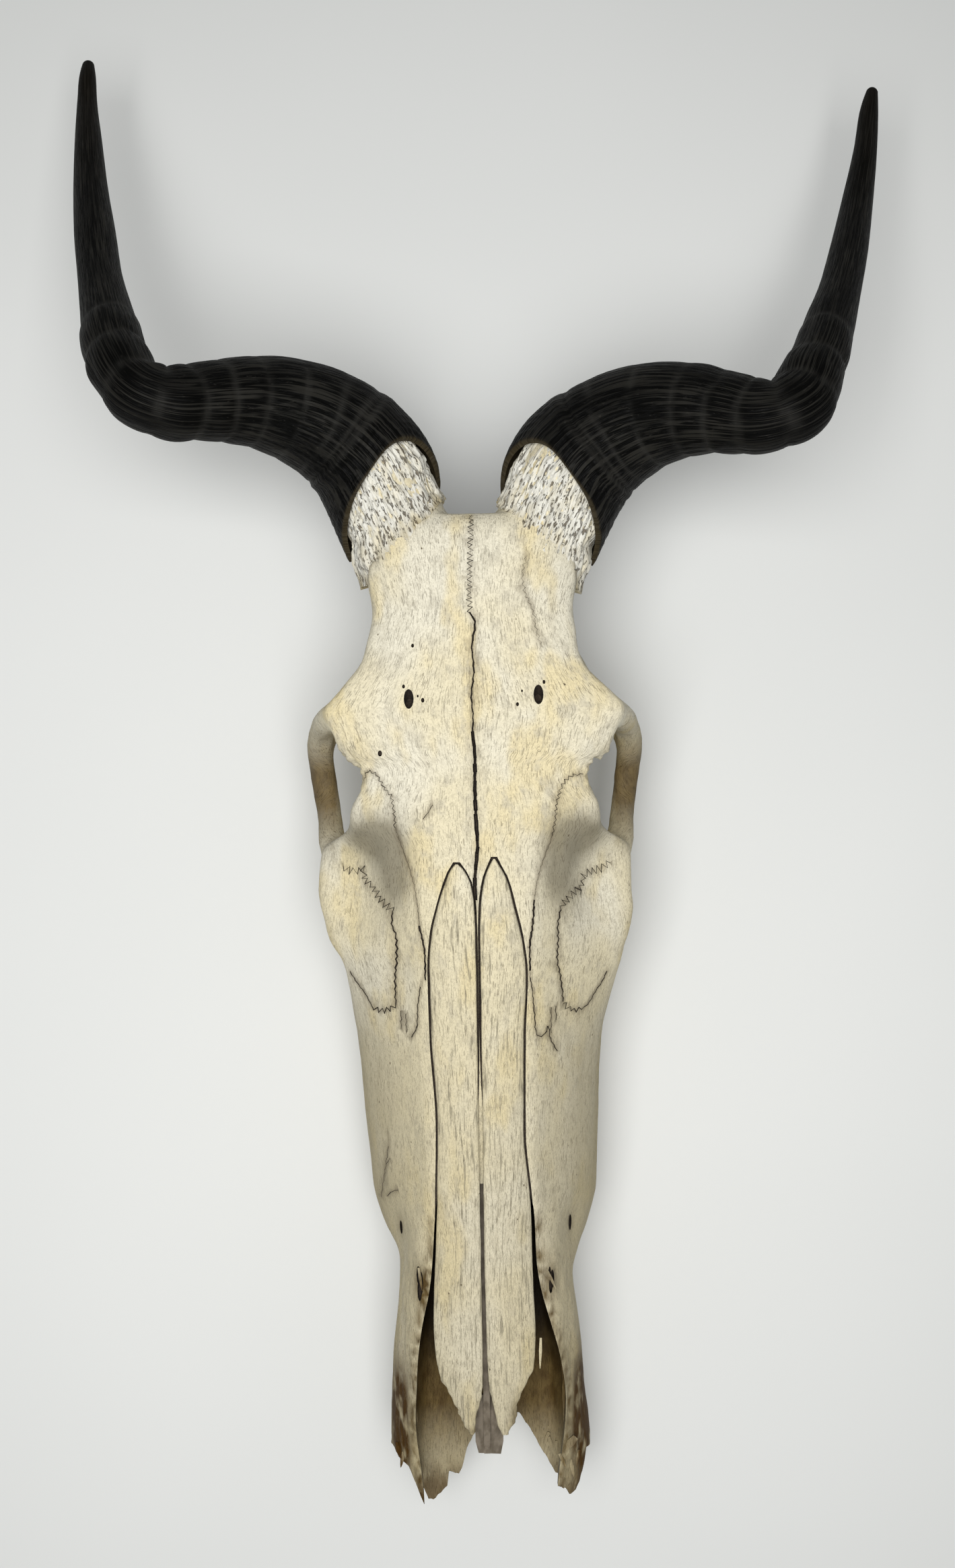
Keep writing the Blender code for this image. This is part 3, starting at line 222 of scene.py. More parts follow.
# Seams of the bone seen from above: width, depth, swing and wave of the zigzag, then places (across, along)
SEAMS = [
    (0.0003, 0.001, 0.0013, 0.0021, [(0, 0.3726), (-0.0005, 0.3626), (-0.0009, 0.3488), (-0.0014, 0.3379),
     (-0.0012, 0.3322)]),
    (0.0006, 0.0025, 0.0002, 0.004, [(-0.0012, 0.3325), (0.0002, 0.3305), (-0.0006, 0.3185),
     (0.0001, 0.3087), (-0.0011, 0.2989), (-0.0005, 0.2893), (-0.0008, 0.2833)]),
    (0.0012, 0.005, 0.0001, 0.005, [(-0.0008, 0.284), (-0.0001, 0.2762), (-0.0002, 0.2618),
     (0.0001, 0.2471), (0.0005, 0.2375), (-0.0003, 0.2296), (-0.0008, 0.2236), (-0.0006, 0.21)]),
    (0.0002, 0.0004, 0.0007, 0.0025, [(0.0221, 0.3551), (0.0205, 0.3474), (0.0218, 0.3387),
     (0.0241, 0.3338), (0.0255, 0.3258), (0.0276, 0.319)]),
    (0.0003, 0.0006, 0.0001, 0.003, [(-0.0175, 0.2547), (-0.0196, 0.2514), (-0.0217, 0.2489)]),
    (0.0003, 0.0009, 0.0007, 0.0022, [(-0.0455, 0.2658), (-0.0434, 0.269), (-0.0414, 0.2684),
     (-0.039, 0.2657), (-0.0366, 0.2612), (-0.0347, 0.2593), (-0.0336, 0.2543), (-0.0329, 0.2456)]),
    (0.0002, 0.0005, 0.0002, 0.003, [(-0.0329, 0.2456), (-0.03, 0.2368), (-0.0273, 0.2288),
     (-0.025, 0.2192), (-0.0237, 0.2054)]),
    (0.0007, 0.002, 0.0002, 0.003, [(-0.0237, 0.2054), (-0.0219, 0.1966), (-0.0215, 0.1837)]),
    (0.0003, 0.0009, 0.0007, 0.0022, [(0.0439, 0.2664), (0.0409, 0.2661), (0.0378, 0.2649),
     (0.0338, 0.2577), (0.0324, 0.2484), (0.0311, 0.2416)]),
    (0.0002, 0.0005, 0.0002, 0.003, [(0.0311, 0.2416), (0.0276, 0.2329), (0.025, 0.2253),
     (0.0232, 0.2154)]),
    (0.0007, 0.002, 0.0002, 0.003, [(0.0232, 0.2154), (0.0224, 0.2048), (0.0213, 0.1979), (0.0212, 0.187)]),
    (0.0003, 0.001, 0.0019, 0.0023, [(-0.0558, 0.2294), (-0.0521, 0.2274), (-0.0468, 0.2283),
     (-0.0469, 0.2244), (-0.0428, 0.2206), (-0.0403, 0.2162), (-0.0377, 0.2138), (-0.0347, 0.2109)]),
    (0.0006, 0.0016, 0.0004, 0.003, [(-0.0347, 0.2109), (-0.0353, 0.2058), (-0.0339, 0.202),
     (-0.0335, 0.193), (-0.0343, 0.1829), (-0.0342, 0.1728)]),
    (0.0003, 0.001, 0.0019, 0.0023, [(0.056, 0.2291), (0.0522, 0.2272), (0.0481, 0.226), (0.0449, 0.225),
     (0.0434, 0.2201), (0.0396, 0.2176), (0.0365, 0.2147), (0.0344, 0.211)]),
    (0.0005, 0.0014, 0.0004, 0.003, [(0.0344, 0.211), (0.0333, 0.2068), (0.0331, 0.1971), (0.0326, 0.191),
     (0.0341, 0.1819), (0.0348, 0.1728)]),
    (0.0004, 0.0012, 0.0002, 0.003, [(-0.0539, 0.1848), (-0.0513, 0.1808), (-0.0472, 0.1758),
     (-0.0446, 0.1709)]),
    (0.0004, 0.0012, 0.0012, 0.0022, [(-0.0446, 0.1709), (-0.0425, 0.17), (-0.038, 0.17),
     (-0.0342, 0.1728)]),
    (0.0004, 0.0012, 0.0002, 0.003, [(0.054, 0.1835), (0.0522, 0.18), (0.0484, 0.175), (0.0461, 0.1712),
     (0.0429, 0.1687)]),
    (0.0004, 0.0012, 0.0012, 0.0022, [(0.0429, 0.1687), (0.0387, 0.169), (0.0348, 0.1723)]),
    (0.0004, 0.001, 0.0002, 0.003, [(-0.0237, 0.1806), (-0.0248, 0.1736), (-0.026, 0.1627),
     (-0.0276, 0.1598)]),
    (0.0003, 0.0008, 0.0003, 0.003, [(-0.032, 0.1702), (-0.0321, 0.1627)]),
    (0.0003, 0.0008, 0.0003, 0.003, [(-0.03, 0.1693), (-0.0298, 0.1615)]),
    (0.0004, 0.001, 0.0002, 0.003, [(0.0212, 0.1842), (0.022, 0.1781), (0.0227, 0.1692), (0.0251, 0.1595),
     (0.0267, 0.1599), (0.0283, 0.1636), (0.0292, 0.1584), (0.0321, 0.1527)]),
    (0.0003, 0.0008, 0.0003, 0.003, [(0.0298, 0.1709), (0.0296, 0.1606)]),
    (0.0003, 0.0008, 0.0003, 0.003, [(0.0318, 0.1712), (0.0317, 0.1654)]),
    (0.0002, 0.0005, 0.0003, 0.004, [(-0.0387, 0.1121), (-0.04, 0.104), (-0.0416, 0.0951),
     (-0.0428, 0.088)]),
    (0.0002, 0.0004, 0.0002, 0.003, [(-0.04, 0.104), (-0.038, 0.1075)]),
    (0.0003, 0.0005, 0.0001, 0.004, [(-0.0396, 0.0903), (-0.0377, 0.0931), (-0.0346, 0.0945)]),
    (0.0008, 0.0014, 0.0005, 0.0035, [(-0.0216, 0.374), (-0.028, 0.3685), (-0.0333, 0.3636),
     (-0.037, 0.3596), (-0.0384, 0.3555), (-0.042, 0.3536), (-0.0431, 0.3498), (-0.0435, 0.3449)]),
    (0.0008, 0.0014, 0.0005, 0.0035, [(0.0238, 0.3726), (0.0335, 0.3626), (0.0408, 0.3576),
     (0.0431, 0.3441)]),
]
SEAM_PITCH, SEAM_LIFT, SEAM_FOOT = 0.0005, 0.0012, 0.18
SEAM_SEED, SEAM_VARIES, SHORTEST_CUT = 12, (0.7, 1.2), 0.0003
WEDGE_CORNERS = 8
WEDGE_FACES = [(0, 1, 3, 2), (4, 6, 7, 5), (0, 4, 5, 1), (2, 3, 7, 6), (0, 2, 6, 4), (1, 5, 7, 3)]

# Horns, from the bone outwards: (across, along, out, width across the view, depth), one list for each side
HORN_LEFT = [
    (-0.028, 0.3645, -0.023, 0.05, 0.05), (-0.0345, 0.3815, -0.0215, 0.0503, 0.05),
    (-0.0423, 0.3975, -0.019, 0.0499, 0.0492), (-0.0556, 0.4097, -0.015, 0.0465, 0.0473),
    (-0.0745, 0.4178, -0.008, 0.0408, 0.0428), (-0.0932, 0.4197, 0.001, 0.0344, 0.0366),
    (-0.1084, 0.4181, 0.01, 0.0299, 0.032), (-0.1223, 0.417, 0.017, 0.0275, 0.0288),
    (-0.1322, 0.4209, 0.0185, 0.0247, 0.0262), (-0.1387, 0.4305, 0.013, 0.0236, 0.0248),
    (-0.1434, 0.4411, 0.003, 0.0252, 0.0243), (-0.1482, 0.457, -0.012, 0.0222, 0.0218),
    (-0.1537, 0.4764, -0.03, 0.0186, 0.0188), (-0.1586, 0.4989, -0.049, 0.0179, 0.0176),
    (-0.1634, 0.5239, -0.069, 0.015, 0.015), (-0.167, 0.5499, -0.087, 0.012, 0.012),
    (-0.1697, 0.572, -0.102, 0.0088, 0.0088), (-0.1704, 0.587, -0.109, 0.007, 0.007),
    (-0.1706, 0.593, -0.113, 0.0046, 0.0046)]
HORN_RIGHT = [
    (0.0275, 0.362, -0.023, 0.05, 0.05), (0.0345, 0.379, -0.0215, 0.0515, 0.0505),
    (0.0432, 0.3953, -0.019, 0.0532, 0.051), (0.0562, 0.4053, -0.015, 0.0487, 0.048),
    (0.0711, 0.4118, -0.008, 0.0435, 0.0438), (0.0878, 0.4133, 0.001, 0.0376, 0.0384),
    (0.1055, 0.4104, 0.01, 0.031, 0.0326), (0.1165, 0.4076, 0.016, 0.0286, 0.0293),
    (0.125, 0.4088, 0.018, 0.0256, 0.0271), (0.1323, 0.4136, 0.015, 0.0264, 0.0266),
    (0.1365, 0.4226, 0.009, 0.0242, 0.0248), (0.1425, 0.4342, -0.001, 0.0221, 0.0226),
    (0.1486, 0.4491, -0.015, 0.021, 0.021), (0.1558, 0.4671, -0.032, 0.0178, 0.0179),
    (0.1629, 0.488, -0.051, 0.0163, 0.0163), (0.1704, 0.5141, -0.072, 0.0136, 0.0136),
    (0.1766, 0.5401, -0.086, 0.0103, 0.0103), (0.1812, 0.5655, -0.0975, 0.0069, 0.0069),
    (0.1828, 0.5721, -0.1, 0.0044, 0.0044)]
RIM_AT, RIM_SLANT, RIM_LEAN, SLANT_REACH = 0.013, 0.0205, 0.011, 0.060
SHEATH_WALL, CAVITY_DEPTH, CORE_DEPTH = 0.0024, 0.085, 0.066
CAVITY_TAPER, CAVITY_END, CAVITY_RINGS = 0.004, 0.006, 14
HORN_SAMPLE, HORN_EASE = 0.0005, 14
HORN_SIDES, HORN_PITCH = 320, 0.0013
NOTCHES = [0.060, 0.076, 0.092, 0.106, 0.119, 0.1315, 0.1465, 0.1640, 0.1850]
DOMES = [0.0004, 0.0005, 0.0008, 0.0011, 0.0014, 0.0018, 0.0019, 0.0010]
RIPPLE, RIPPLE_PITCH, RIPPLE_REACH = 0.00028, 0.0042, 0.022
RIB_HEIGHT, RIB_SIZE, RIB_STRETCH = 0.00018, 0.0022, 0.12
GRIT_HEIGHT, GRIT_SIZE = 0.00014, 0.0060
TIP_ROUND, TIP_STATIONS, THINNEST = 0.0025, 7, 0.0002
PALE_TIP_AT, PALE_TIP_REACH = 0.245, 0.10
CREASE_AT, CREASE_WIDTH, CREASE_RIDGE, CREASE_CUT = 0.050, 0.0016, 0.0009, 0.0010
RING_WANDER, WANDER_SIZE = 0.0022, 0.018
EDGE_REACH, EDGE_DUST = 0.0014, 0.6
RIM_START, RIM_EDGE, RIM_BAND = 0.0006, 0.0009, 0.0012
STRAIGHT_RADIUS = 0.020

# Horn cores
CORE_SIDES, CORE_PITCH = 230, 0.00055
CORE_START, CORE_SHOWN, LIP_LEAN = -0.0012, 0.052, 0.011
HEART_PLAY, CORE_PLAY, CORE_TAPER = 0.0022, 0.0012, 0.004
# Their spongy bark: heights and sizes of its ridges, lumps and pits, then the lip on the brow and its foot
RIDGE_HEIGHT, RIDGE_SIZE, LUMP_HEIGHT, LUMP_SIZE = 0.0024, 0.0024, 0.0006, 0.0040
PORE_DEPTH, PORE_SIZE, PORE_LEAST = 0.0020, 0.0013, 0.15
LIP_HEIGHT, LIP_REACH, LIP_WAVE, LIP_WAVE_SIZE, FOOT_HEIGHT = 0.0010, 0.004, 0.0026, 0.007, 0.0022

# Nasal bones: (along, inner edge, outer edge), and their thickness
NASAL_LEFT = [
    (-0.002, -0.0045, -0.0062), (0.006, -0.003, -0.0105), (0.015, -0.001, -0.0145),
    (0.02, -0.0006, -0.0178), (0.032, -0.0006, -0.0199), (0.045, -0.0006, -0.0204),
    (0.065, -0.0006, -0.0194), (0.09, -0.0006, -0.0183), (0.125, -0.0008, -0.0174),
    (0.16, -0.0008, -0.0194), (0.188, -0.0008, -0.0198), (0.202, -0.0009, -0.0187),
    (0.213, -0.0012, -0.016), (0.222, -0.0025, -0.0132), (0.2285, -0.0055, -0.0105),
    (0.2305, -0.0076, -0.0086)]
NASAL_RIGHT = [
    (-0.0025, 0.0072, 0.009), (0.003, 0.0046, 0.0122), (0.01, 0.0033, 0.0136), (0.018, 0.002, 0.0172),
    (0.024, 0.0016, 0.0203), (0.037, 0.0012, 0.0213), (0.056, 0.001, 0.0206), (0.09, 0.0007, 0.02),
    (0.12, 0.001, 0.0176), (0.16, 0.001, 0.0182), (0.186, 0.001, 0.0194), (0.2, 0.001, 0.0179),
    (0.213, 0.0014, 0.015), (0.224, 0.003, 0.0122), (0.231, 0.0058, 0.0085), (0.2325, 0.0068, 0.0075)]
NASAL_THICK = 0.0036
# Top of their middle line and how strongly they arch, along the face
NASAL_TOP = [
    (-0.01, -0.005, 12), (0.03, -0.002, 12), (0.08, 0.0, 12), (0.125, 0.0, 12), (0.16, 0.0, 10),
    (0.2, 0.001, 8), (0.24, 0.0013, 8)]
NASAL_SIDES, NASAL_PITCH = 64, 0.0009
NASAL_CHIPS, NASAL_CHIPPED = 0.0016, 0.030
NASAL_SWELL, NASAL_GRAIN = (0.00022, 0.0060), (0.00006, 0.0018)
SEPTUM_OUTLINE = [
    (0.16, -0.01), (0.1, -0.0085), (0.012, -0.0095), (-0.004, -0.013), (-0.0135, -0.0175), (-0.012, -0.026),
    (0.01, -0.036), (0.06, -0.046), (0.12, -0.046), (0.15, -0.034)]
SEPTUM_MIDDLE, SEPTUM_THICK = 0.0008, 0.0026
TAB_OUTLINE = [
    (-0.0026, 0.012, -0.014), (-0.004, 0.004, -0.0155), (-0.004, -0.008, -0.0172),
    (-0.0028, -0.013, -0.018), (0.0064, -0.0135, -0.018), (0.0075, -0.008, -0.0172),
    (0.0075, 0.004, -0.0155), (0.0058, 0.012, -0.014)]
TAB_THICK = 0.0022

# Cheek teeth from the front: (length along the row, width), row line and heights
TEETH = [
    ("premolar_1", 0.011, 0.0095), ("premolar_2", 0.013, 0.0115), ("premolar_3", 0.0135, 0.013),
    ("molar_1", 0.017, 0.0145), ("molar_2", 0.02, 0.0155), ("molar_3", 0.0205, 0.0145)]
ROW_LINE = [(0.080, 0.0270), (0.120, 0.0325), (0.150, 0.0358), (0.178, 0.0372)]
ROW_START = 0.0815
TOOTH_SPACE, TOOTH_SIDES, TOOTH_SQUARE = 0.0006, 12, 0.75
FOLD_DEPTH, FOLD_WIDTH = 0.12, 0.25
ROOT_DEPTH, ROOT_SHRINK, NECK_SHRINK = 0.011, 0.82, 0.97
CROWN_LINE = [(0.080, -0.0925), (0.110, -0.1040), (0.135, -0.1110), (0.150, -0.1150)]
GUM_LINE = [(0.080, -0.0800), (0.110, -0.0865), (0.150, -0.0955), (0.180, -0.1015)]
REST_REACH, REST_HALF, REST_DEPTH = (0.28, 0.38), 0.1, 0.05

# Colours of the bone, the horn cores, the horns and the rest
CREAM, CHALK, BUTTER = (0.740, 0.665, 0.465), (0.755, 0.710, 0.570), (0.740, 0.630, 0.370)
# The third colour in the next row is the grey of the bone's streaks and mottling, also used as painted shade
# in the hollows by the orbits
ASH, TAN, MOTTLE_AND_SHADE = (0.480, 0.440, 0.340), (0.420, 0.355, 0.210), (0.230, 0.203, 0.140)
BROWN, UMBER, STAIN = (0.125, 0.083, 0.028), (0.070, 0.042, 0.012), (0.060, 0.028, 0.003)
# The next row starts with the near-black painted shade deep inside the nose
NOSE_SHADE_BLACK, PORE = (0.012, 0.008, 0.004), (0.150, 0.115, 0.070)
CORE_PALE, CORE_GREY, CORE_HOLE_DARK = (0.730, 0.715, 0.640), (0.400, 0.375, 0.300), (0.090, 0.062, 0.030)
JET, HORN_LINE, HORN_DUST = (0.0012, 0.0012, 0.0010), (0.019, 0.018, 0.015), (0.045, 0.042, 0.036)
HORN_EDGE, HORN_TIP, HORN_RIM = (0.027, 0.026, 0.023), (0.014, 0.011, 0.007), (0.110, 0.085, 0.045)
ENAMEL, TARTAR = (0.700, 0.640, 0.500), (0.560, 0.450, 0.280)
# The next row is for the walls of cuts: old grime and painted shade
GRIME_AND_SHADE_TONES = [(0.016, 0.010, 0.006), (0.055, 0.038, 0.024)]
GRISTLE_TONES = [(0.095, 0.074, 0.048), (0.180, 0.148, 0.108)]
FLOOR_TONES = [(0.720, 0.728, 0.708), (0.735, 0.742, 0.722)]

# Patches of colour on the bone: (strength, place, reach); the first are painted shade in the hollows before
# the orbits and on the orbit shelves, on both sides
SHADE_PATCHES = [
    (1.5, (0.0415, 0.242, -0.022), (0.012, 0.009, 0.03)),
    (1.2, (0.0335, 0.226, -0.014), (0.007, 0.014, 0.03)), (0.4, (0.056, 0.275, -0.01), (0.01, 0.005, 0.02))]
BROWN_PATCHES = [
    (0.7, (0.0128, 0.004, -0.008), (0.0028, 0.007, 0.02)),
    (0.6, (-0.0045, -0.001, -0.008), (0.004, 0.002, 0.02))]
BROWN_PATCHES += [(0.8, place, (0.0030, 0.0080, 0.010)) for *place, _, _ in RIM_HOLES]
BROWN_PATCHES += [(0.5, place, (0.0016, 0.0050, 0.010)) for place in CHEEK_HOLES]
STAIN_PATCHES = [
    (2.4, (-0.035, -0.003, -0.034), (0.0045, 0.02, 0.02)),
    (2.4, (0.0405, -0.003, -0.036), (0.0045, 0.022, 0.02))]
# Reach of the grime and painted shade beside the seams, then the grain's even width and where the waist ends
SEAM_GRIME_AND_SHADE, EVEN_WIDTH, WAIST_END = 0.0009, 0.040, 0.335
# Where a colour starts, and how far it takes to be full, along one direction of the face
TAN_NOSE, TAN_TIP, TAN_BELOW = (0.25, -0.20), (0.03, -0.03), (-0.045, -0.020)
TAN_SIDE, TAN_SIDE_END = (0.026, 0.016), (0.180, -0.03)
STRAP_OUT, STRAP_ALONG, STRAP_BELOW = (0.0565, 0.004), (0.0312, -0.024), (-0.012, -0.006)
NOSE_SHADE_RAMP, WORN_RIM = (0.012, 0.026), (0.090, -0.010)
STAIN_OUT, STAIN_TIP = (0.0022, 0.0020), (-0.024, -0.010)
HOLLOW_END, HOLLOW_FLOOR, HOLLOW_SKIN, BELOW_RIM, RIM_SHADE = 0.165, -0.062, 0.0010, 0.004, -0.003

# Camera above the brow, looking square onto the face, and the light: a pale room with one soft lamp
CAMERA_PLACE, CAMERA_ROLL = (0.0009, 0.263, 0.95), -math.atan2(20, 1320)
SENSOR_HEIGHT, FOCAL_LENGTH = 36.0, 53.8
ROOM_COLOUR, ROOM_STRENGTH = (0.97, 0.985, 1.0, 1), 0.22
LAMP_OFFSET, LAMP_AIM = (-0.07, -0.085, 0.40), (-0.03, CAMERA_PLACE[1], 0)
LAMP_SIZE, LAMP_WATTS, LAMP_SPREAD = 0.75, 4.45, math.radians(76)
FLOOR_HALF = 3


def between_rows(value, tangent, i, t, step):
    """Smooth curve from row i of a table to the next row, at the share t of the step between them."""
    return (value[i] * (2 * t**3 - 3 * t**2 + 1) + value[i + 1] * (3 * t**2 - 2 * t**3)
            + step * (tangent[i] * (t**3 - 2 * t**2 + t) + tangent[i + 1] * (t**3 - t**2)))


def rail(points, at):
    """Value columns of a rail at the given places, on a smooth curve that doesn't overshoot its points."""
    table = np.array(points, dtype=float)
    place, value = table[:, 0], table[:, 1:]
    step = np.diff(place)[:, None]
    slope = np.diff(value, axis=0) / step
    tangent = np.zeros_like(value)
    turn = slope[1:] * slope[:-1] > 0
    tangent[1:-1][turn] = (2 * slope[1:] * slope[:-1] / np.where(turn, slope[1:] + slope[:-1], 1))[turn]
    tangent[0], tangent[-1] = slope[0], slope[-1]
    at = np.clip(np.atleast_1d(at), place[0], place[-1])
    i = np.clip(np.searchsorted(place, at) - 1, 0, len(place) - 2)
    return between_rows(value, tangent, i, ((at - place[i]) / (place[i + 1] - place[i]))[:, None], step[i])


def path(points, pitch):
    """Points at about the given pitch on a smooth curve through the given ones, with the lengths along it."""
    table = np.array(points, dtype=float)
    gaps = np.linalg.norm(np.diff(table[:, :3], axis=0), axis=1)
    along = np.concatenate([[0], np.cumsum(gaps)])
    at = np.linspace(0, along[-1], max(2, int(round(along[-1] / pitch)) + 1))
    tangent = np.gradient(table, along, axis=0)
    i = np.clip(np.searchsorted(along, at, side="right") - 1, 0, len(along) - 2)
    return between_rows(table, tangent, i, ((at - along[i]) / gaps[i])[:, None], gaps[i][:, None]), at


def eased(rows, steps):
    """Rows with each value averaged with its neighbours; both ends stay where they are."""
    reach = np.arange(-2 * steps, 2 * steps + 1)
    weight = np.exp(-2 * (reach / steps) ** 2)
    weight /= weight.sum()
    ends = len(reach) // 2
    before = 2 * rows[0] - rows[ends:0:-1]
    after = 2 * rows[-1] - rows[-2:-ends - 2:-1]
    padded = np.vstack([before, rows, after])
    return np.column_stack([np.convolve(column, weight, "valid") for column in padded.T])


def noise_at(points, size, seed):
    """Smooth noise between about -1 and 1 at each point, with lumps of about the given size."""
    shifted = np.asarray(points, dtype=float) / size + 17.3 * seed
    flat = shifted.reshape(-1, 3).tolist()
    return np.array([noise.noise(p) for p in flat]).reshape(shifted.shape[:-1])


def placed(name, mesh):
    obj = bpy.data.objects.new(name, mesh)
    bpy.context.collection.objects.link(obj)
    return obj


def mesh_object(name, points, faces):
    mesh = bpy.data.meshes.new(name)
    mesh.from_pydata([tuple(map(float, p)) for p in points], [], faces)
    bm = bmesh.new()
    bm.from_mesh(mesh)
    bmesh.ops.recalc_face_normals(bm, faces=bm.faces)
    bm.to_mesh(mesh)
    bm.free()
    return placed(name, mesh)


def loft(name, rings):
    """Closed skin over equal rings of points, with a flat cap on the first and the last."""
    count = len(rings[0])
    points = [p for ring in rings for p in ring]
    faces = [tuple(range(count)), tuple(range(len(points) - count, len(points)))]
    for r in range(len(rings) - 1):
        for k in range(count):
            a, b = r * count + k, r * count + (k + 1) % count
            faces.append((a, b, b + count, a + count))
    return mesh_object(name, points, faces)


def full_turn(sides):
    return np.linspace(0, 2 * math.pi, sides, endpoint=False)


def frames(centres):
    """Two directions square to a path at each of its points, carried along without twist."""
    ahead = np.gradient(centres, axis=0)
    ahead /= np.linalg.norm(ahead, axis=1)[:, None]
    sides = [np.cross(ahead[0], UP)]
    for direction in ahead:
        side = sides[-1] - direction * np.dot(sides[-1], direction)
        sides.append(side / np.linalg.norm(side))
    sides = np.array(sides[1:])
    return ahead, sides, np.cross(sides, ahead)


def bar(name, points, sides=24, pitch=0.002):
    """Tapered bar along a path: rows of (x, y, z, radius across, radius along)."""
    curve, _ = path(points, pitch)
    _, across, up = frames(curve[:, :3])
    turn = full_turn(sides)
    rings = []
    for row, a, b in zip(curve, across, up):
        rings.append([row[:3] + row[3] * math.cos(t) * a + row[4] * math.sin(t) * b for t in turn])
    return loft(name, rings)


def ball(name, centre, radii, segments=48):
    mesh = bpy.data.meshes.new(name)
    bm = bmesh.new()
    bmesh.ops.create_uvsphere(bm, u_segments=segments, v_segments=segments // 2, radius=1)
    bmesh.ops.scale(bm, vec=radii, verts=bm.verts)
    bmesh.ops.translate(bm, vec=centre, verts=bm.verts)
    bm.to_mesh(mesh)
    bm.free()
    return placed(name, mesh)


def settle(obj):
    """Turn an object's modifiers into its mesh."""
    bpy.context.view_layer.update()
    shaped = obj.evaluated_get(bpy.context.evaluated_depsgraph_get())
    mesh = bpy.data.meshes.new_from_object(shaped)
    obj.modifiers.clear()
    obj.data = mesh
    return obj


def reskin(obj, rounds):
    """Even new skin over a closed shape, relaxed by some rounds of smoothing."""
    remesh = obj.modifiers.new("skin", "REMESH")
    remesh.mode, remesh.voxel_size = "VOXEL", BODY_VOXEL
    smooth = obj.modifiers.new("smooth", "SMOOTH")
    smooth.factor, smooth.iterations = 0.5, rounds
    return settle(obj)


def fuse(name, objects):
    """One smooth skin round several overlapping shapes."""
    whole = objects[0]
    bm = bmesh.new()
    for obj in objects:
        bm.from_mesh(obj.data)
    mesh = bpy.data.meshes.new(name)
    bm.to_mesh(mesh)
    bm.free()
    for obj in objects[1:]:
        bpy.data.objects.remove(obj)
    whole.name, whole.data = name, mesh
    return reskin(whole, BODY_ROUNDS)


def join(obj, other, operation):
    boolean = obj.modifiers.new("join", "BOOLEAN")
    boolean.operation, boolean.solver, boolean.object = operation, "EXACT", other
    boolean.material_mode = "TRANSFER"
    settle(obj)
    bpy.data.objects.remove(other)
    return obj


def cut(obj, cutter):
    """Take a shape out of a solid; where that loses the solid, nudge the shape a little and try again."""
    whole, shape = obj.data.copy(), cutter.data.copy()
    for nudge in CUT_NUDGES:
        join(obj, cutter, "DIFFERENCE")
        if len(obj.data.vertices) > len(whole.vertices) / 2:
            return
        obj.data = whole.copy()
        cutter = placed("cutter", shape.copy())
        cutter.data.transform(Matrix.Translation((nudge, -nudge, nudge / 2)))
    bpy.data.objects.remove(cutter)


def thin_out(obj, triangles):
    obj.data.calc_loop_triangles()
    decimate = obj.modifiers.new("thin", "DECIMATE")
    decimate.ratio = min(1.0, triangles / len(obj.data.loop_triangles))
    decimate.use_collapse_triangulate = True
    settle(obj)


def keep_largest(obj):
    """Drop crumbs that a cut left beside the main body."""
    bm = bmesh.new()
    bm.from_mesh(obj.data)
    left = set(bm.verts)
    shells = []
    while left:
        shell, front = set(), [left.pop()]
        while front:
            vert = front.pop()
            shell.add(vert)
            near = [e.other_vert(vert) for e in vert.link_edges]
            fresh = [v for v in near if v in left]
            left.difference_update(fresh)
            front.extend(fresh)
        shells.append(shell)
    shells.sort(key=len, reverse=True)
    bmesh.ops.delete(bm, geom=[v for shell in shells[1:] for v in shell], context="VERTS")
    bm.to_mesh(obj.data)
    bm.free()
    return obj


def points_of(obj):
    flat = np.empty(len(obj.data.vertices) * 3)
    obj.data.vertices.foreach_get("co", flat)
    return flat.reshape(-1, 3)


def normals_of(obj):
    flat = np.empty(len(obj.data.vertices) * 3, dtype=np.float32)
    obj.data.vertex_normals.foreach_get("vector", flat)
    return flat.reshape(-1, 3)


def push(obj, amount):
    """Move each point of a mesh along its normal."""
    moved = points_of(obj) + normals_of(obj) * amount[:, None]
    obj.data.vertices.foreach_set("co", moved.ravel())
    obj.data.update()


def spot(points, centre, reach):
    """1 at a place and fading to 0 over its reach."""
    away = (points - np.array(centre)) / np.array(reach)
    return np.exp(-np.sum(away**2, axis=-1))


def folded(points):
    """The same places with both sides of the face laid over each other."""
    return np.column_stack([np.abs(points[:, 0]), points[:, 1:]])


def patches(points, rows):
    """Sum of spots, given as (strength, place, reach)."""
    return sum(strength * spot(points, centre, reach) for strength, centre, reach in rows)


def ramp(values, start, reach):
    """0 at the start, rising evenly to 1 over the reach, which is below zero where it rises the other way."""
    return np.clip((values - start) / reach, 0, 1)


def surface_of(obj):
    return BVHTree.FromPolygons([v.co for v in obj.data.vertices], [f.vertices for f in obj.data.polygons])


def ground_at(surface, x, y):
    """Point of a surface right below a place, or nothing where there is none."""
    return surface.ray_cast(Vector((x, y, SKY)), -UP)[0]


def write_value(obj, name, values):
    """Keep one number for each point of a mesh, for its material to read."""
    layer = obj.data.attributes.new(name, "FLOAT", "POINT")
    layer.data.foreach_set("value", np.asarray(values, dtype=np.float32))


def write_vector(obj, name, values):
    layer = obj.data.attributes.new(name, "FLOAT_VECTOR", "POINT")
    layer.data.foreach_set("vector", np.asarray(values, dtype=np.float32).ravel())


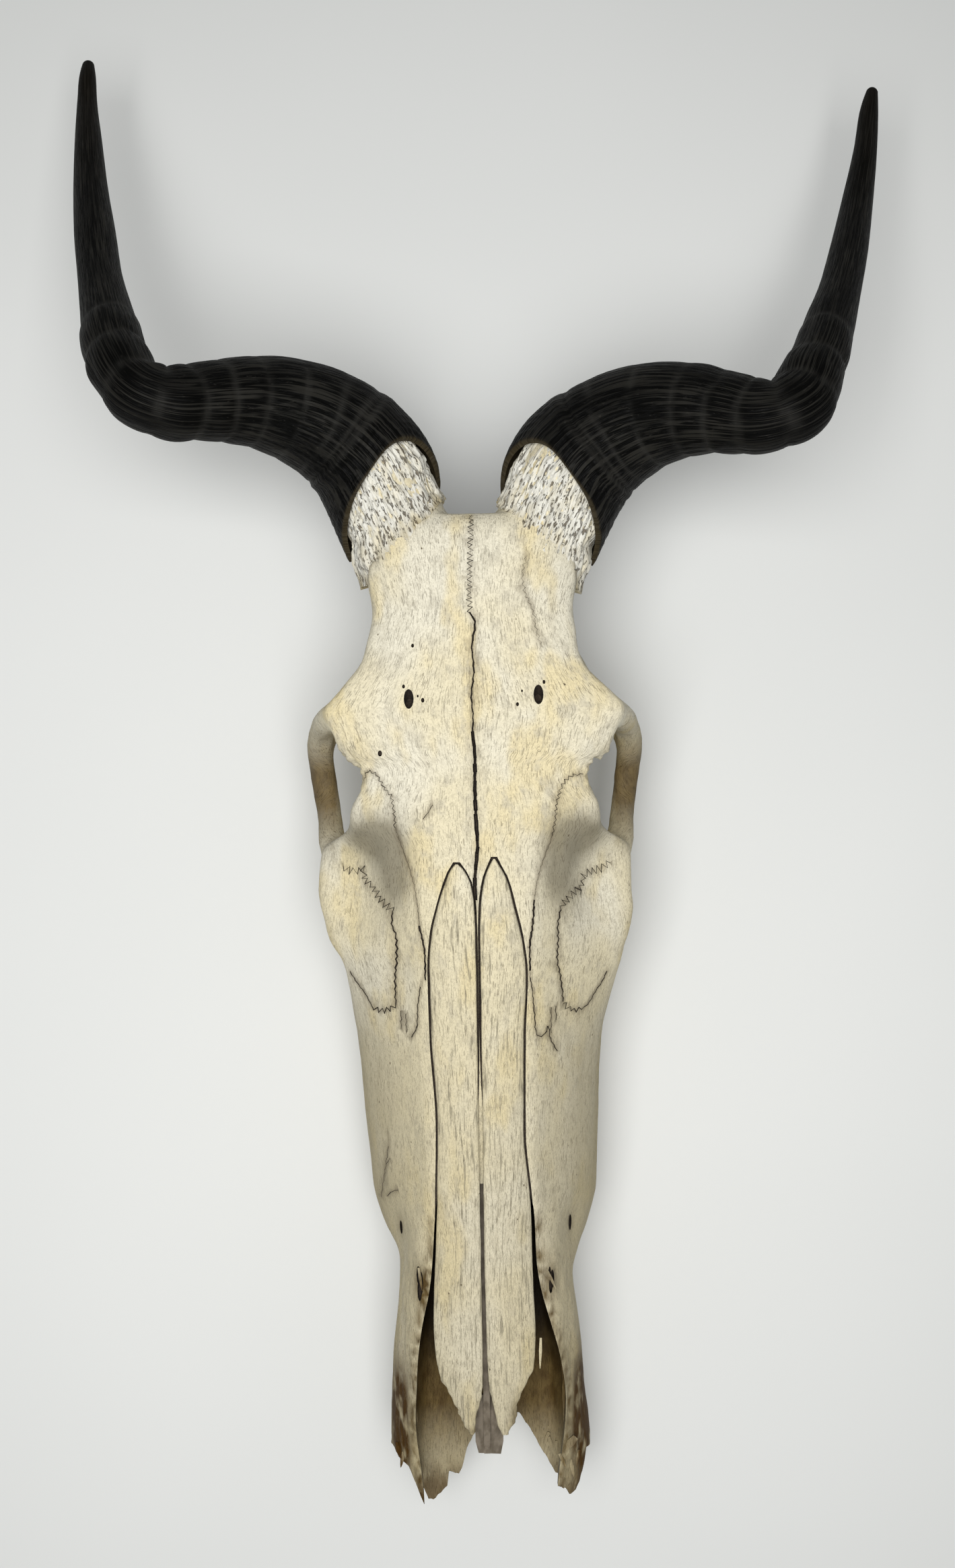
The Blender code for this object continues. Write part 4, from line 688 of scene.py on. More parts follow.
class Look:
    """A material being wired up: each method adds nodes and gives back the output to wire on."""

    def __init__(self, name, colour, roughness, specular=0.5):
        self.material = bpy.data.materials.new(name)
        self.material.use_nodes = True
        self.tree = self.material.node_tree
        self.surface = self.tree.nodes["Principled BSDF"].inputs
        self.surface["Roughness"].default_value = roughness
        self.surface["Specular IOR Level"].default_value = specular
        self.colour = colour

    def put(self, socket, value):
        """Wire an output to a socket, or set the socket to a constant."""
        if isinstance(value, bpy.types.NodeSocket):
            self.tree.links.new(value, socket)
        elif socket.type == "RGBA":
            socket.default_value = (*value, 1)
        else:
            socket.default_value = value

    def node(self, kind, **inputs):
        node = self.tree.nodes.new("ShaderNode" + kind)
        for name, value in inputs.items():
            self.put(node.inputs[name], value)
        return node

    def place(self):
        """Place in the face frame, in metres."""
        return self.node("TexCoord").outputs["Object"]

    def kept(self, name, output="Fac"):
        """A value or vector that the mesh keeps at its points."""
        node = self.node("Attribute")
        node.attribute_name = name
        return node.outputs[output]

    def cells_of(self, vector, sizes, shift):
        """Places measured in cells of the given sizes."""
        node = self.node("Mapping", Vector=vector, Scale=[1 / s for s in sizes], Location=[shift] * 3)
        return node.outputs["Vector"]

    def noise(self, vector, sizes, shift=0.0, detail=2.0, roughness=0.5, distortion=0.0):
        """Soft noise with lumps of the given sizes."""
        node = self.node("TexNoise", Vector=self.cells_of(vector, sizes, shift), Scale=1.0, Detail=detail,
                         Roughness=roughness, Distortion=distortion)
        return node.outputs["Fac"]

    def dots(self, vector, sizes, shift):
        """Distance to the nearest of many scattered dots."""
        cells = self.cells_of(vector, sizes, shift)
        return self.node("TexVoronoi", Vector=cells, Scale=1.0).outputs["Distance"]

    def between(self, value, low, high, start=0.0, end=1.0):
        """Value turned smoothly into start below low and end above high."""
        node = self.node("MapRange")
        node.interpolation_type = "SMOOTHSTEP"
        for socket, number in zip(node.inputs, (value, low, high, start, end)):
            self.put(socket, number)
        return node.outputs["Result"]

    def sum(self, a, b, operation="ADD"):
        node = self.node("Math")
        node.operation = operation
        self.put(node.inputs[0], a)
        self.put(node.inputs[1], b)
        return node.outputs["Value"]

    def times(self, a, b):
        return self.sum(a, b, "MULTIPLY")

    def mix(self, factor, a, b):
        """Colour a, turned into b where the factor is 1."""
        node = self.node("Mix")
        node.data_type = "RGBA"
        for index, value in ((0, factor), (6, a), (7, b)):
            self.put(node.inputs[index], value)
        return node.outputs[2]

    def coat(self, factor, colour):
        """Turn the colour so far into another one where the factor is 1."""
        self.colour = self.mix(factor, self.colour, colour)

    def done(self, height, depth):
        """The finished material, with bumps of the given depth in metres."""
        bump = self.node("Bump", Height=height, Distance=depth, Strength=1.0)
        self.put(self.surface["Normal"], bump.outputs["Normal"])
        self.put(self.surface["Base Color"], self.colour)
        return self.material


def bone_look():
    """Old clean bone: cream with chalky, buttery and ash patches, fine mottling, hairlines and pores, with
    painted shade in its hollows, inside the nose and along the seams.
    """
    look = Look("bone", CREAM, 0.66, 0.12)
    place, grain = look.place(), look.kept("grain", "Vector")
    look.coat(look.between(look.noise(place, (0.045, 0.060, 0.045)), 0.40, 0.62), CHALK)
    look.coat(look.between(look.noise(place, (0.016, 0.034, 0.020), 5.0), 0.50, 0.68, 0.0, 0.80), BUTTER)
    clouds = look.noise(grain, (0.0045, 0.0090, 0.0045), 9.0, detail=5.0, roughness=0.65)
    look.coat(look.between(clouds, 0.48, 0.70, 0.0, 0.60), ASH)
    look.coat(look.kept("tan"), TAN)
    # Painted shade in the hollows before the orbits and on the orbit shelves
    look.coat(look.kept("hollow_shade"), MOTTLE_AND_SHADE)
    streaks = look.noise(grain, (0.0011, 0.0150, 0.0030), 6.0, detail=4.0, roughness=0.6)
    look.coat(look.times(look.between(streaks, 0.52, 0.68, 0.0, 0.75), look.kept("streaky")), MOTTLE_AND_SHADE)
    worms = look.noise(grain, (0.0006, 0.0010, 0.0007), 1.0, roughness=0.6, distortion=1.0)
    look.coat(look.between(worms, 0.40, 0.68, 0.0, 0.30), MOTTLE_AND_SHADE)
    density = look.noise(place, (0.016, 0.022, 0.016), 3.0, detail=3.0)
    hairs = look.noise(grain, (0.00028, 0.0036, 0.0014), detail=1.0, distortion=0.5)
    hair = look.between(hairs, 0.61, 0.68)
    look.coat(look.times(hair, look.between(density, 0.38, 0.60, 0.10, 0.45)), PORE)
    pits = look.between(look.dots(grain, (0.0075, 0.0110, 0.0075), 2.0), 0.03, 0.055, 1.0, 0.0)
    pits = look.times(pits, look.between(density, 0.45, 0.55))
    look.coat(pits, PORE)
    # Brown: the bone's own colour on the rims and round holes, partly painted shade on the cheek straps and
    # inside the nose
    look.coat(look.kept("brown"), look.mix(look.between(clouds, 0.35, 0.65), UMBER, BROWN))
    # Near-black painted shade deep inside the nose
    look.coat(look.kept("deep"), NOSE_SHADE_BLACK)
    # Grime, partly painted shade, along the seams and under the lips of the horn cores
    look.coat(look.times(look.kept("grime_and_shade"), 0.60), PORE)
    blotch = look.between(look.noise(place, (0.003, 0.012, 0.006), 4.0, detail=4.0), 0.22, 0.50)
    look.coat(look.times(look.kept("stain"), blotch), STAIN)
    height = look.sum(look.times(hair, -0.7), look.times(clouds, 0.5))
    height = look.sum(height, look.times(worms, 0.5))
    return look.done(look.sum(height, look.times(pits, -1.0)), 0.00022)


def core_look():
    """White spongy bone of a horn core, dark in its holes, with grime on its lip."""
    look = Look("core", CORE_PALE, 0.75)
    straight = look.kept("straight", "Vector")
    holes = look.noise(straight, (0.0009, 0.0009, 0.0034), detail=3.0, roughness=0.65)
    grime = look.noise(straight, (0.0050, 0.0050, 0.0120), 4.0, detail=4.0)
    fibres = look.noise(straight, (0.0005, 0.0005, 0.0060), 6.0)
    hole = look.between(holes, 0.545, 0.63)
    look.coat(look.between(grime, 0.45, 0.70, 0.0, 0.60), CREAM)
    look.coat(look.between(fibres, 0.45, 0.65, 0.0, 0.55), CORE_GREY)
    look.coat(look.times(look.kept("lip"), look.between(grime, 0.30, 0.60)), TAN)
    look.coat(look.times(hole, 0.85), CORE_HOLE_DARK)
    return look.done(look.sum(look.times(hole, -1.0), look.times(fibres, 0.4)), 0.0007)


def horn_look():
    """Matt black horn with fine pale lines along it, dusty ring edges and a faintly yellow rim."""
    look = Look("horn", JET, 0.62, 0.06)
    straight = look.kept("straight", "Vector")
    lines = look.noise(straight, (0.00105, 0.00105, 0.022), distortion=0.5)
    fine = look.noise(straight, (0.0004, 0.0004, 0.005), 7.0)
    dust = look.noise(straight, (0.0012, 0.0012, 0.0040), 3.0, detail=4.0, roughness=0.7)
    tone = look.noise(straight, (0.012, 0.012, 0.020), 1.0, detail=3.0)
    shown = look.between(tone, 0.30, 0.65, 0.35, 1.0)
    look.coat(look.times(look.between(lines, 0.47, 0.60), shown), HORN_LINE)
    look.coat(look.between(dust, 0.60, 0.74, 0.0, 0.45), HORN_DUST)
    look.coat(look.times(look.kept("edge"), look.between(tone, 0.30, 0.60)), HORN_EDGE)
    look.coat(look.kept("tip"), HORN_TIP)
    look.coat(look.kept("rim"), HORN_RIM)
    look.put(look.surface["Roughness"], look.between(fine, 0.3, 0.7, 0.42, 0.66))
    return look.done(look.sum(look.between(lines, 0.35, 0.60), look.times(fine, 0.35)), 0.00032)


def tooth_look():
    """Cream enamel with yellow tartar and fine lines down it."""
    look = Look("tooth", ENAMEL, 0.35)
    place = look.place()
    look.coat(look.between(look.noise(place, (0.004, 0.004, 0.010), detail=4.0), 0.35, 0.65), TARTAR)
    return look.done(look.noise(place, (0.0012, 0.0012, 0.0100), 4.0), 0.00015)


def mottled(name, tones, roughness, sizes, detail, low, high, depth):
    """One tone turning into another in soft lumps, which also stand up a little."""
    look = Look(name, tones[0], roughness)
    lumps = look.noise(look.place(), sizes, detail=detail)
    look.coat(look.between(lumps, low, high), tones[1])
    return look.done(lumps, depth)


def crack_look():
    """Old grime and painted shade on the dark walls and bottoms of the seams, holes, slots and sockets."""
    return mottled("crack", GRIME_AND_SHADE_TONES, 0.9, (0.0008, 0.0008, 0.0008), 3.0, 0.3, 0.7, 0.0002)


def gristle_look():
    """Dry grey-brown gristle."""
    return mottled("gristle", GRISTLE_TONES, 0.70, (0.003, 0.006, 0.003), 5.0, 0.35, 0.65, 0.0004)


def floor_look():
    """Pale matt sheet."""
    return mottled("floor", FLOOR_TONES, 0.9, (0.25, 0.25, 0.25), 2.0, 0.3, 0.7, 0.0002)


def body_ring(at):
    """Cross-section of the bone at one place along the face, all the way round."""
    knots = np.array([rail(points, at)[0] for points in RAILS])
    steps = np.arange(len(knots))
    fine = np.linspace(0, len(knots) - 1, (len(knots) - 1) * SECTION_STEPS + 1)
    half = rail(np.column_stack([steps, knots]), fine)
    half[0, 0] = half[-1, 0] = 0
    wide = half[:, 0].max()
    more_left, more_right = rail(SIDE_GROWTH, at)[0]
    right = [(x + more_right * (x / wide)**2, at, z) for x, z in half]
    left = [(-x - more_left * (x / wide)**2, at, z) for x, z in half[-2:0:-1]]
    return right + left


def bone_body():
    stations = np.arange(BODY_START, BODY_END + STATION_PITCH / 2, STATION_PITCH)
    return loft("body", [body_ring(at) for at in stations])


def horn_core(name, horn):
    """Smooth heart of a horn core, from inside the skull to inside the sheath."""
    curve, along = path(horn, 0.002)
    start = 2 * np.array(horn[0][:3]) - np.array(horn[1][:3])
    reach = RIM_AT + CORE_DEPTH
    rows = [(*start, 0.017, 0.016)]
    for row, at in zip(curve, along):
        if at < reach:
            slim = SHEATH_WALL + HEART_PLAY + CORE_TAPER * max(0, at - RIM_AT) / CORE_DEPTH
            rows.append((*row[:3], row[3] / 2 - slim, row[4] / 2 - slim))
    return bar(name, rows, sides=48)


class HornPath:
    """Centre line of a horn with its widths, ready to be sampled anywhere."""

    def __init__(self, rows):
        self.curve, self.along = path(rows, HORN_SAMPLE)
        self.curve = eased(self.curve, HORN_EASE)
        ahead, self.across, self.up = frames(self.curve[:, :3])
        self.start_ahead = ahead[0]
        self.inward = -math.copysign(1.0, rows[0][0])

    def skew(self, turn):
        """How much further along the rim lies on each side of the horn."""
        return RIM_SLANT * np.sin(turn) + self.inward * RIM_LEAN * np.cos(turn)

    def sample(self, table, at):
        return np.stack([np.interp(at, self.along, table[:, k]) for k in range(table.shape[1])], axis=-1)

    def oval(self, at, turn):
        row = self.sample(self.curve, at)
        across, deep = row[..., 3] / 2, row[..., 4] / 2
        return across * deep / np.hypot(across * np.sin(turn), deep * np.cos(turn))

    def points(self, at, turn, radius):
        side = self.sample(self.across, at) * np.cos(turn)[..., None]
        up = self.sample(self.up, at) * np.sin(turn)[..., None]
        before = np.minimum(at, 0)[..., None] * self.start_ahead
        return self.sample(self.curve[:, :3], at) + before + radius[..., None] * (side + up)


def straight_place(at, turn):
    """Place on a straightened horn, for patterns that run along it."""
    return np.stack([STRAIGHT_RADIUS * np.cos(turn), STRAIGHT_RADIUS * np.sin(turn), at], axis=-1)


def ring_wander(place, seed):
    """How far the rings of a horn stray along it, so that they aren't even."""
    return RING_WANDER * noise_at(place, WANDER_SIZE, seed)


def domes(at):
    """Knuckles of a horn: a low dome between each two notches."""
    height = np.zeros_like(at)
    for low, high, tall in zip(NOTCHES, NOTCHES[1:], DOMES):
        inside = np.clip(1 - ((at - (low + high) / 2) / ((high - low) / 2)) ** 2, 0, 1)
        height += tall * inside**0.6
    return height


def sheath_relief(at, turn, from_rim, seed):
    """Height of the outer surface of a sheath over its smooth form."""
    place = straight_place(at, turn)
    wander = ring_wander(place, seed)
    strength = 0.65 + 0.5 * noise_at(place, 0.012, seed + 1)
    relief = domes(at + wander) * strength
    base = np.exp(-np.clip(from_rim, 0, 1) / RIPPLE_REACH)
    wave = np.sin(2 * math.pi * (from_rim + wander * 0.6) / RIPPLE_PITCH)
    relief += RIPPLE * base * wave * (0.6 + 0.8 * noise_at(place, 0.010, seed + 2))
    crease = (at + wander - CREASE_AT) / CREASE_WIDTH
    near = 0.5 + 0.5 * np.sin(turn)
    relief += near * (CREASE_RIDGE * np.exp(-(crease + 2.2) ** 2 / 3) - CREASE_CUT * np.exp(-crease**2))
    ribs = place * (1, 1, RIB_STRETCH)
    fade = np.clip(1.15 - at / 0.30, 0.25, 1)
    fine = RIB_HEIGHT * noise_at(ribs, RIB_SIZE, seed + 3)
    fine += GRIT_HEIGHT * noise_at(place, GRIT_SIZE, seed + 4)
    return relief + fade * fine


def ring_edges(at, turn, seed):
    """1 on the edges of the rings and of the creases near the base, where dust lies."""
    shifted = at + ring_wander(straight_place(at, turn), seed)
    near = np.zeros_like(at)
    for edge in (*NOTCHES, CREASE_AT - CREASE_WIDTH, CREASE_AT + 0.0022):
        near = np.maximum(near, np.exp(-((shifted - edge) / EDGE_REACH) ** 2))
    return EDGE_DUST * near


def horn_sheath(name, rows, seed):
    """Horn sheath: hollow at its base, solid from the end of the hollow to the tip."""
    horn = HornPath(rows)
    length = horn.along[-1]
    turn = full_turn(HORN_SIDES)
    at_all, radius_all, rim_all = [], [], []
    for deep in np.linspace(1, 0, CAVITY_RINGS):
        at = np.maximum(RIM_AT + CAVITY_DEPTH * deep + (1 - deep) * horn.skew(turn), 0)
        inset = SHEATH_WALL + CAVITY_TAPER * deep + CAVITY_END * deep**6
        at_all.append(at)
        radius_all.append(horn.oval(at, turn) - inset)
        rim_all.append(np.ones(HORN_SIDES))
    tip = length - TIP_ROUND
    stations = [*np.arange(RIM_AT + RIM_START, tip, HORN_PITCH), *np.linspace(tip, length, TIP_STATIONS)]
    for place in stations:
        at = np.maximum(place + max(0.0, 1 - (place - RIM_AT) / SLANT_REACH) * horn.skew(turn), 0)
        edge = RIM_EDGE * math.exp(-((place - RIM_AT) / RIM_EDGE))
        at_all.append(at)
        radius_all.append(horn.oval(at, turn) + sheath_relief(at, turn, place - RIM_AT, seed) - edge)
        rim_all.append(np.full(HORN_SIDES, math.exp(-((place - RIM_AT) / RIM_BAND) ** 2)))
    at, radius, rim = (np.array(grid) for grid in (at_all, radius_all, rim_all))
    turns = np.broadcast_to(turn, at.shape)
    end = np.clip((length - at) / TIP_ROUND, 0, 1)
    radius = np.where(at > tip, radius * np.sqrt(1 - (1 - end) ** 2) * 0.98 + 0.0001, radius)
    obj = loft(name, horn.points(at, turns, np.maximum(radius, THINNEST)))
    write_vector(obj, "straight", straight_place(at, turns))
    write_value(obj, "tip", ramp(at, PALE_TIP_AT, PALE_TIP_REACH).ravel() ** 2 * 0.50)
    write_value(obj, "rim", rim.ravel() * 0.4)
    write_value(obj, "edge", ring_edges(at, turns, seed).ravel())
    return obj


def rough_core(name, rows, seed):
    """Porous bark of a horn core, from its lip on the brow to inside the sheath."""
    horn = HornPath(rows)
    turn = full_turn(CORE_SIDES)
    shown = np.arange(CORE_START, CORE_SHOWN, CORE_PITCH)
    hidden = np.linspace(CORE_SHOWN, RIM_AT + CORE_DEPTH, 12)
    stations = np.concatenate([shown, hidden])[:, None]
    lean = horn.inward * LIP_LEAN * np.cos(turn)
    at = stations + lean * np.clip(1 - stations / CORE_SHOWN, 0, 1)
    turns = np.broadcast_to(turn, at.shape)
    place = straight_place(at, turns)
    from_lip = stations - CORE_START + np.zeros(CORE_SIDES)
    lip = np.exp(-from_lip / LIP_REACH)
    at = at + LIP_WAVE * lip * noise_at(place * (1, 1, 0), LIP_WAVE_SIZE, seed)
    slim = SHEATH_WALL + CORE_PLAY + CORE_TAPER * ramp(at, RIM_AT, CORE_DEPTH)
    ridges = np.abs(noise_at(place * (1, 1, 0.20), RIDGE_SIZE, seed + 1))
    lumps = noise_at(place * (1, 1, 0.55), LUMP_SIZE, seed + 2)
    pits = np.clip(noise_at(place * (1, 1, 0.45), PORE_SIZE, seed + 3) - PORE_LEAST, 0, 1)
    rise = ramp(from_lip, 0, 0.010)
    relief = -0.0004 + RIDGE_HEIGHT * (ridges - 0.25) * (0.35 + 0.65 * rise) + LUMP_HEIGHT * lumps
    relief = relief - PORE_DEPTH * pits + LIP_HEIGHT * lip
    outward = np.clip(-horn.inward * np.cos(turn), 0, 1)
    relief += FOOT_HEIGHT * outward * ramp(at, 0.006, -0.007)
    radius = np.maximum(horn.oval(at, turns) - slim + relief, 0.004)
    inner = radius[:1] * 0.55
    at = np.vstack([at[:1] - 0.001, at])
    radius = np.vstack([inner, radius])
    turns = np.vstack([turns[:1], turns])
    obj = loft(name, horn.points(at, turns, radius))
    write_vector(obj, "straight", straight_place(at, turns))
    write_value(obj, "lip", np.exp(-np.vstack([from_lip[:1], from_lip]) / 0.006).ravel())
    return obj


def plate_ring(at, inner, outer, grow, sides, lift):
    """Cross-section of a nasal bone: a flat arched plate with round edges."""
    base, arch = rail(NASAL_TOP, at)[0]
    middle, half = (inner + outer) / 2, abs(outer - inner) / 2 + grow
    thick = NASAL_THICK / 2 + grow
    ring = []
    for t in full_turn(sides):
        c, s = math.cos(t), math.sin(t)
        x = middle + half * math.copysign(abs(c) ** 0.55, c)
        z = base - NASAL_THICK / 2 + thick * math.copysign(abs(s) ** 0.75, s)
        ring.append((x, at, z - arch * x * x + (lift if s > 0.01 else 0)))
    return ring


def nasal_rings(rows, grow, pitch, sides, chips, lift=0.0):
    first, last = rows[0][0] - grow, rows[-1][0] + grow
    rings = []
    for at in np.linspace(first, last, int((last - first) / pitch) + 1):
        inner, outer = rail(rows, at)[0]
        side = math.copysign(1.0, outer)
        ragged = chips * max(0.0, 1 - (at - first) / NASAL_CHIPPED)
        outer += side * ragged * noise.noise((at / 0.0022, side * 3.1, 0.7))
        inner += side * ragged * 0.5 * noise.noise((at / 0.0030, side * 5.3, 1.9))
        rings.append(plate_ring(at, inner, outer, grow, sides, lift))
    return rings


def nasal_bone(name, rows):
    obj = loft(name, nasal_rings(rows, 0.0, NASAL_PITCH, NASAL_SIDES, NASAL_CHIPS))
    places = points_of(obj)
    (high, wide), (low, fine) = NASAL_SWELL, NASAL_GRAIN
    push(obj, high * noise_at(places * (1, 0.4, 1), wide, 41) + low * noise_at(places, fine, 42))
    return obj


def septum(name, grow=0.0):
    """Upright plate of gristle and bone under the nasal bones, with a flat tab across its front end."""
    half = SEPTUM_THICK / 2 + grow
    plate = loft(name, [[(SEPTUM_MIDDLE + x, y, z) for y, z in SEPTUM_OUTLINE] for x in (-half, half)])
    thick = TAB_THICK / 2 + grow
    tab = loft("tab", [[(x, y, z + up) for x, y, z in TAB_OUTLINE] for up in (-thick, thick)])
    return join(plate, tab, "UNION")


def resting_height(y):
    """Level of the surface it rests on, in the face frame, at a place along the face."""
    return (-REST_SHIFT[2] - y * math.sin(REST_TILT)) / math.cos(REST_TILT)


def resting_block(name):
    """Everything below the surface that the skull rests on."""
    top = [(y, resting_height(y)) for y in REST_REACH]
    outline = top + [(y, z - REST_DEPTH) for y, z in top[::-1]]
    return loft(name, [[(x, y, z) for y, z in outline] for x in (-REST_HALF, REST_HALF)])


def tooth(name, place, length, width, side, grow=0.0):
    """Cheek tooth: two lobes on the outer side, flat grinding face, root in the gum."""
    outline = []
    for k in range(TOOTH_SIDES):
        angle = 2 * math.pi * k / TOOTH_SIDES
        x, y = math.cos(angle), math.sin(angle)
        square = max(abs(x), abs(y))**TOOTH_SQUARE
        x, y = x / square, y / square
        fold = 1 - FOLD_DEPTH * (x > 0.6) * math.exp(-(y / FOLD_WIDTH) ** 2)
        outline.append((side * x * fold * (width / 2 + grow), y * (length / 2 + grow)))
    across = side * rail(ROW_LINE, place)[0][0]
    gum = rail(GUM_LINE, place)[0][0]
    rings = []
    for level, shrink in ((gum + ROOT_DEPTH + grow, ROOT_SHRINK), (gum, NECK_SHRINK)):
        rings.append([(across + x * shrink, place + y * shrink, level) for x, y in outline])
    face = []
    for x, y in outline:
        level = resting_height(place + y)
        if place + y < CROWN_LINE[-1][0]:
            level = max(level, rail(CROWN_LINE, place + y)[0][0])
        face.append((across + x, place + y, level - grow))
    return loft(name, rings + [face])


def tooth_places():
    at = ROW_START
    for name, length, width in TEETH:
        yield name, at + length / 2, length, width
        at += length + TOOTH_SPACE


def nose_hollow(name):
    """Hollow between the side walls of the nose, open on top and in front."""
    rings = []
    for at, left, right, high, low in NOSE_HOLLOW:
        middle, tall = (high + low) / 2, (high - low) / 2
        ring = []
        for t in full_turn(48):
            c, s = math.cos(t), math.sin(t)
            half = right if c > 0 else left
            power = max(abs(c), abs(s)) ** 0.6
            ring.append((half * c / power, at, middle + tall * s / power))
        rings.append(ring)
    return loft(name, rings)


def nose_mouth(name):
    """Open top of the nose, between the upper rims of its side walls."""
    places = np.linspace(NOSE_RIM[0][0], NOSE_RIM[-1][0], 40)
    left, right = rail(NOSE_RIM, places).T
    outline = [*zip(right, places), *zip(-left[::-1], places[::-1])]
    return loft(name, [[(x, y, z) for x, y in outline] for z in (RIM_FLOOR, RIM_CEILING)])


def broken_nose(name):
    """Everything in front of the splintered edge of the nose."""
    line = []
    for (xa, ya), (xb, yb) in zip(BROKEN_EDGE, BROKEN_EDGE[1:]):
        steps = max(1, int(math.hypot(xb - xa, yb - ya) / CHIP_STEP))
        line += [(xa + (xb - xa) * k / steps, ya + (yb - ya) * k / steps) for k in range(steps)]
    rings = []
    for z in np.arange(-CHIP_FAR, 0.021, CHIP_LEVEL):
        chips = CHIP_SIZE * noise_at([(x, 0, z) for x, _ in line], 0.0016, 5)
        ring = [(x, y + chip, z) for (x, y), chip in zip(line, chips)]
        rings.append(ring + [(0.060, -CHIP_FAR, z), (-0.060, -CHIP_FAR, z)])
    return loft(name, rings)


def skull_body():
    """Bone without its fine cuts: fused, hollowed and worn."""
    parts = [bone_body()]
    for points in (ORBIT_RING, CHEEK_ARCH, SIDE_SPUR, NECK_CREST):
        for side in (1, -1):
            parts.append(bar("bar", [(side * x, *rest) for x, *rest in points]))
    for (x, y, z), radii in KNOBS:
        for side in (1, -1):
            parts.append(ball("knob", (side * x, y, z), radii))
    for rows in (HORN_LEFT, HORN_RIGHT):
        parts.append(horn_core("core", rows))
    whole = fuse("skull_bone", parts)
    x, y, z = ORBIT_CENTRE
    for side in (1, -1):
        cut(whole, ball("orbit", (side * x, y, z), ORBIT_RADII, 64))
    cut(whole, nose_hollow("nose"))
    cut(whole, bar("throat", THROAT_PATH, pitch=0.006))
    cut(whole, ball("brain", BRAIN_CENTRE, BRAIN_RADII))
    cut(whole, bar("neck_hole", NECK_HOLE_PATH, sides=32, pitch=0.01))
    reskin(whole, SKIN_ROUNDS)
    wear(whole)
    thin_out(whole, BODY_TRIANGLES)
    cut(whole, nose_mouth("nose_top"))
    cut(whole, broken_nose("broken_nose"))
    return keep_largest(whole)


def wear(bone):
    """Low swellings all over, ragged brow shelves and splintered nose, furrows below the brow holes."""
    places = points_of(bone)
    paired = folded(places)
    _, y, z = places.T
    (high, wide), (low, fine) = SWELLINGS
    amount = high * noise_at(places, wide, 1) + low * noise_at(places, fine, 2)
    height, centre, reach = RAGGED_SHELF
    amount += height * spot(paired, centre, reach) * noise_at(places, SHELF_SIZE, 3)
    for depth, centre, reach in WAIST_HOLLOWS:
        amount -= depth * spot(paired, centre, reach)
    height, size = NOSE_SPLINTERS
    amount += height * ramp(y, -0.008, -0.006) * noise_at(places * (1, 0.4, 1), size, 4)
    height, size = RIM_SPLINTERS
    rim = ramp(y, 0.075, -0.010) * ramp(z, -0.040, 0.006)
    amount += height * rim * noise_at(places * (1, 0.5, 1), size, 5)
    amount -= patches(places, [BROW_DENT])
    amount -= patches(paired, [BROW_FURROW])
    push(bone, amount)


def corners(points, swing, wave, rng):
    """A coarse line turned into the corners of a fine wandering one."""
    curve, along = path(points, SEAM_PITCH)
    length = along[-1]
    turns = max(2, int(2 * length / wave))
    at = np.linspace(0, length, turns + 1) + rng.uniform(-0.15, 0.15, turns + 1) * wave
    at = np.clip(at, 0, length)
    offset = np.where(np.arange(turns + 1) % 2, swing, -swing) * rng.uniform(0.45, 1.0, turns + 1)
    offset[0] = offset[-1] = 0
    ahead = np.gradient(curve, axis=0)
    ahead /= np.linalg.norm(ahead, axis=1)[:, None]
    side = np.column_stack([ahead[:, 1], -ahead[:, 0]])
    base = np.column_stack([np.interp(at, along, curve[:, k]) for k in (0, 1)])
    aside = np.column_stack([np.interp(at, along, side[:, k]) for k in (0, 1)])
    return base + aside * offset[:, None]


def wedge(start, end, width, depth):
    """Corners of a thin V-shaped cutter between two places on the bone."""
    ahead = end[:2] - start[:2]
    ahead = np.append(ahead / np.linalg.norm(ahead), 0)
    side = np.array([ahead[1], -ahead[0], 0])
    points = []
    for place, way in ((start, -1), (end, 1)):
        for half, level in ((0.75, SEAM_LIFT), (SEAM_FOOT, -depth)):
            middle = place + ahead * way * width * 0.35 + np.array(UP) * level
            points += [middle - side * width * half, middle + side * width * half]
    return points


def apart(a, b, least):
    """Whether two short lines keep clear of each other, tested at their ends and middles."""
    one = np.array([a[0], (a[0] + a[1]) / 2, a[1]])
    two = np.array([b[0], (b[0] + b[1]) / 2, b[1]])
    return np.min(np.linalg.norm(one[:, None] - two[None], axis=2)) > least


def cut_dark(bone, cutter, crack):
    """Cut a hole or slot whose walls are dark, with old grime and painted shade."""
    cutter.data.materials.append(crack)
    cut(bone, cutter)


def seam_pieces(bone):
    """Short straight pieces of the seams on the bone, and how far each keeps from others in its pass."""
    surface = surface_of(bone)
    rng = np.random.default_rng(SEAM_SEED)
    for width, depth, swing, wave, points in SEAMS:
        line = corners(points, swing, wave, rng)
        ground = [ground_at(surface, x, y) for x, y in line]
        for start, end in zip(ground, ground[1:]):
            if start is None or end is None or (end - start).length < SHORTEST_CUT:
                continue
            sizes = (width * rng.uniform(*SEAM_VARIES), depth * rng.uniform(*SEAM_VARIES))
            yield (np.array(start), np.array(end), *sizes), 2 * SEAM_PITCH + width


def cut_seams(bone, crack):
    """Cut the seams between the bones into the surface, in passes whose cutters don't touch each other."""
    passes = []
    for piece, clear in seam_pieces(bone):
        for group in passes:
            if all(apart(piece, other, clear) for other in group):
                group.append(piece)
                break
        else:
            passes.append([piece])
    for group in passes:
        points = [point for piece in group for point in wedge(*piece)]
        firsts = [WEDGE_CORNERS * k for k in range(len(group))]
        faces = [tuple(first + i for i in face) for first in firsts for face in WEDGE_FACES]
        cut_dark(bone, mesh_object("wedges", points, faces), crack)


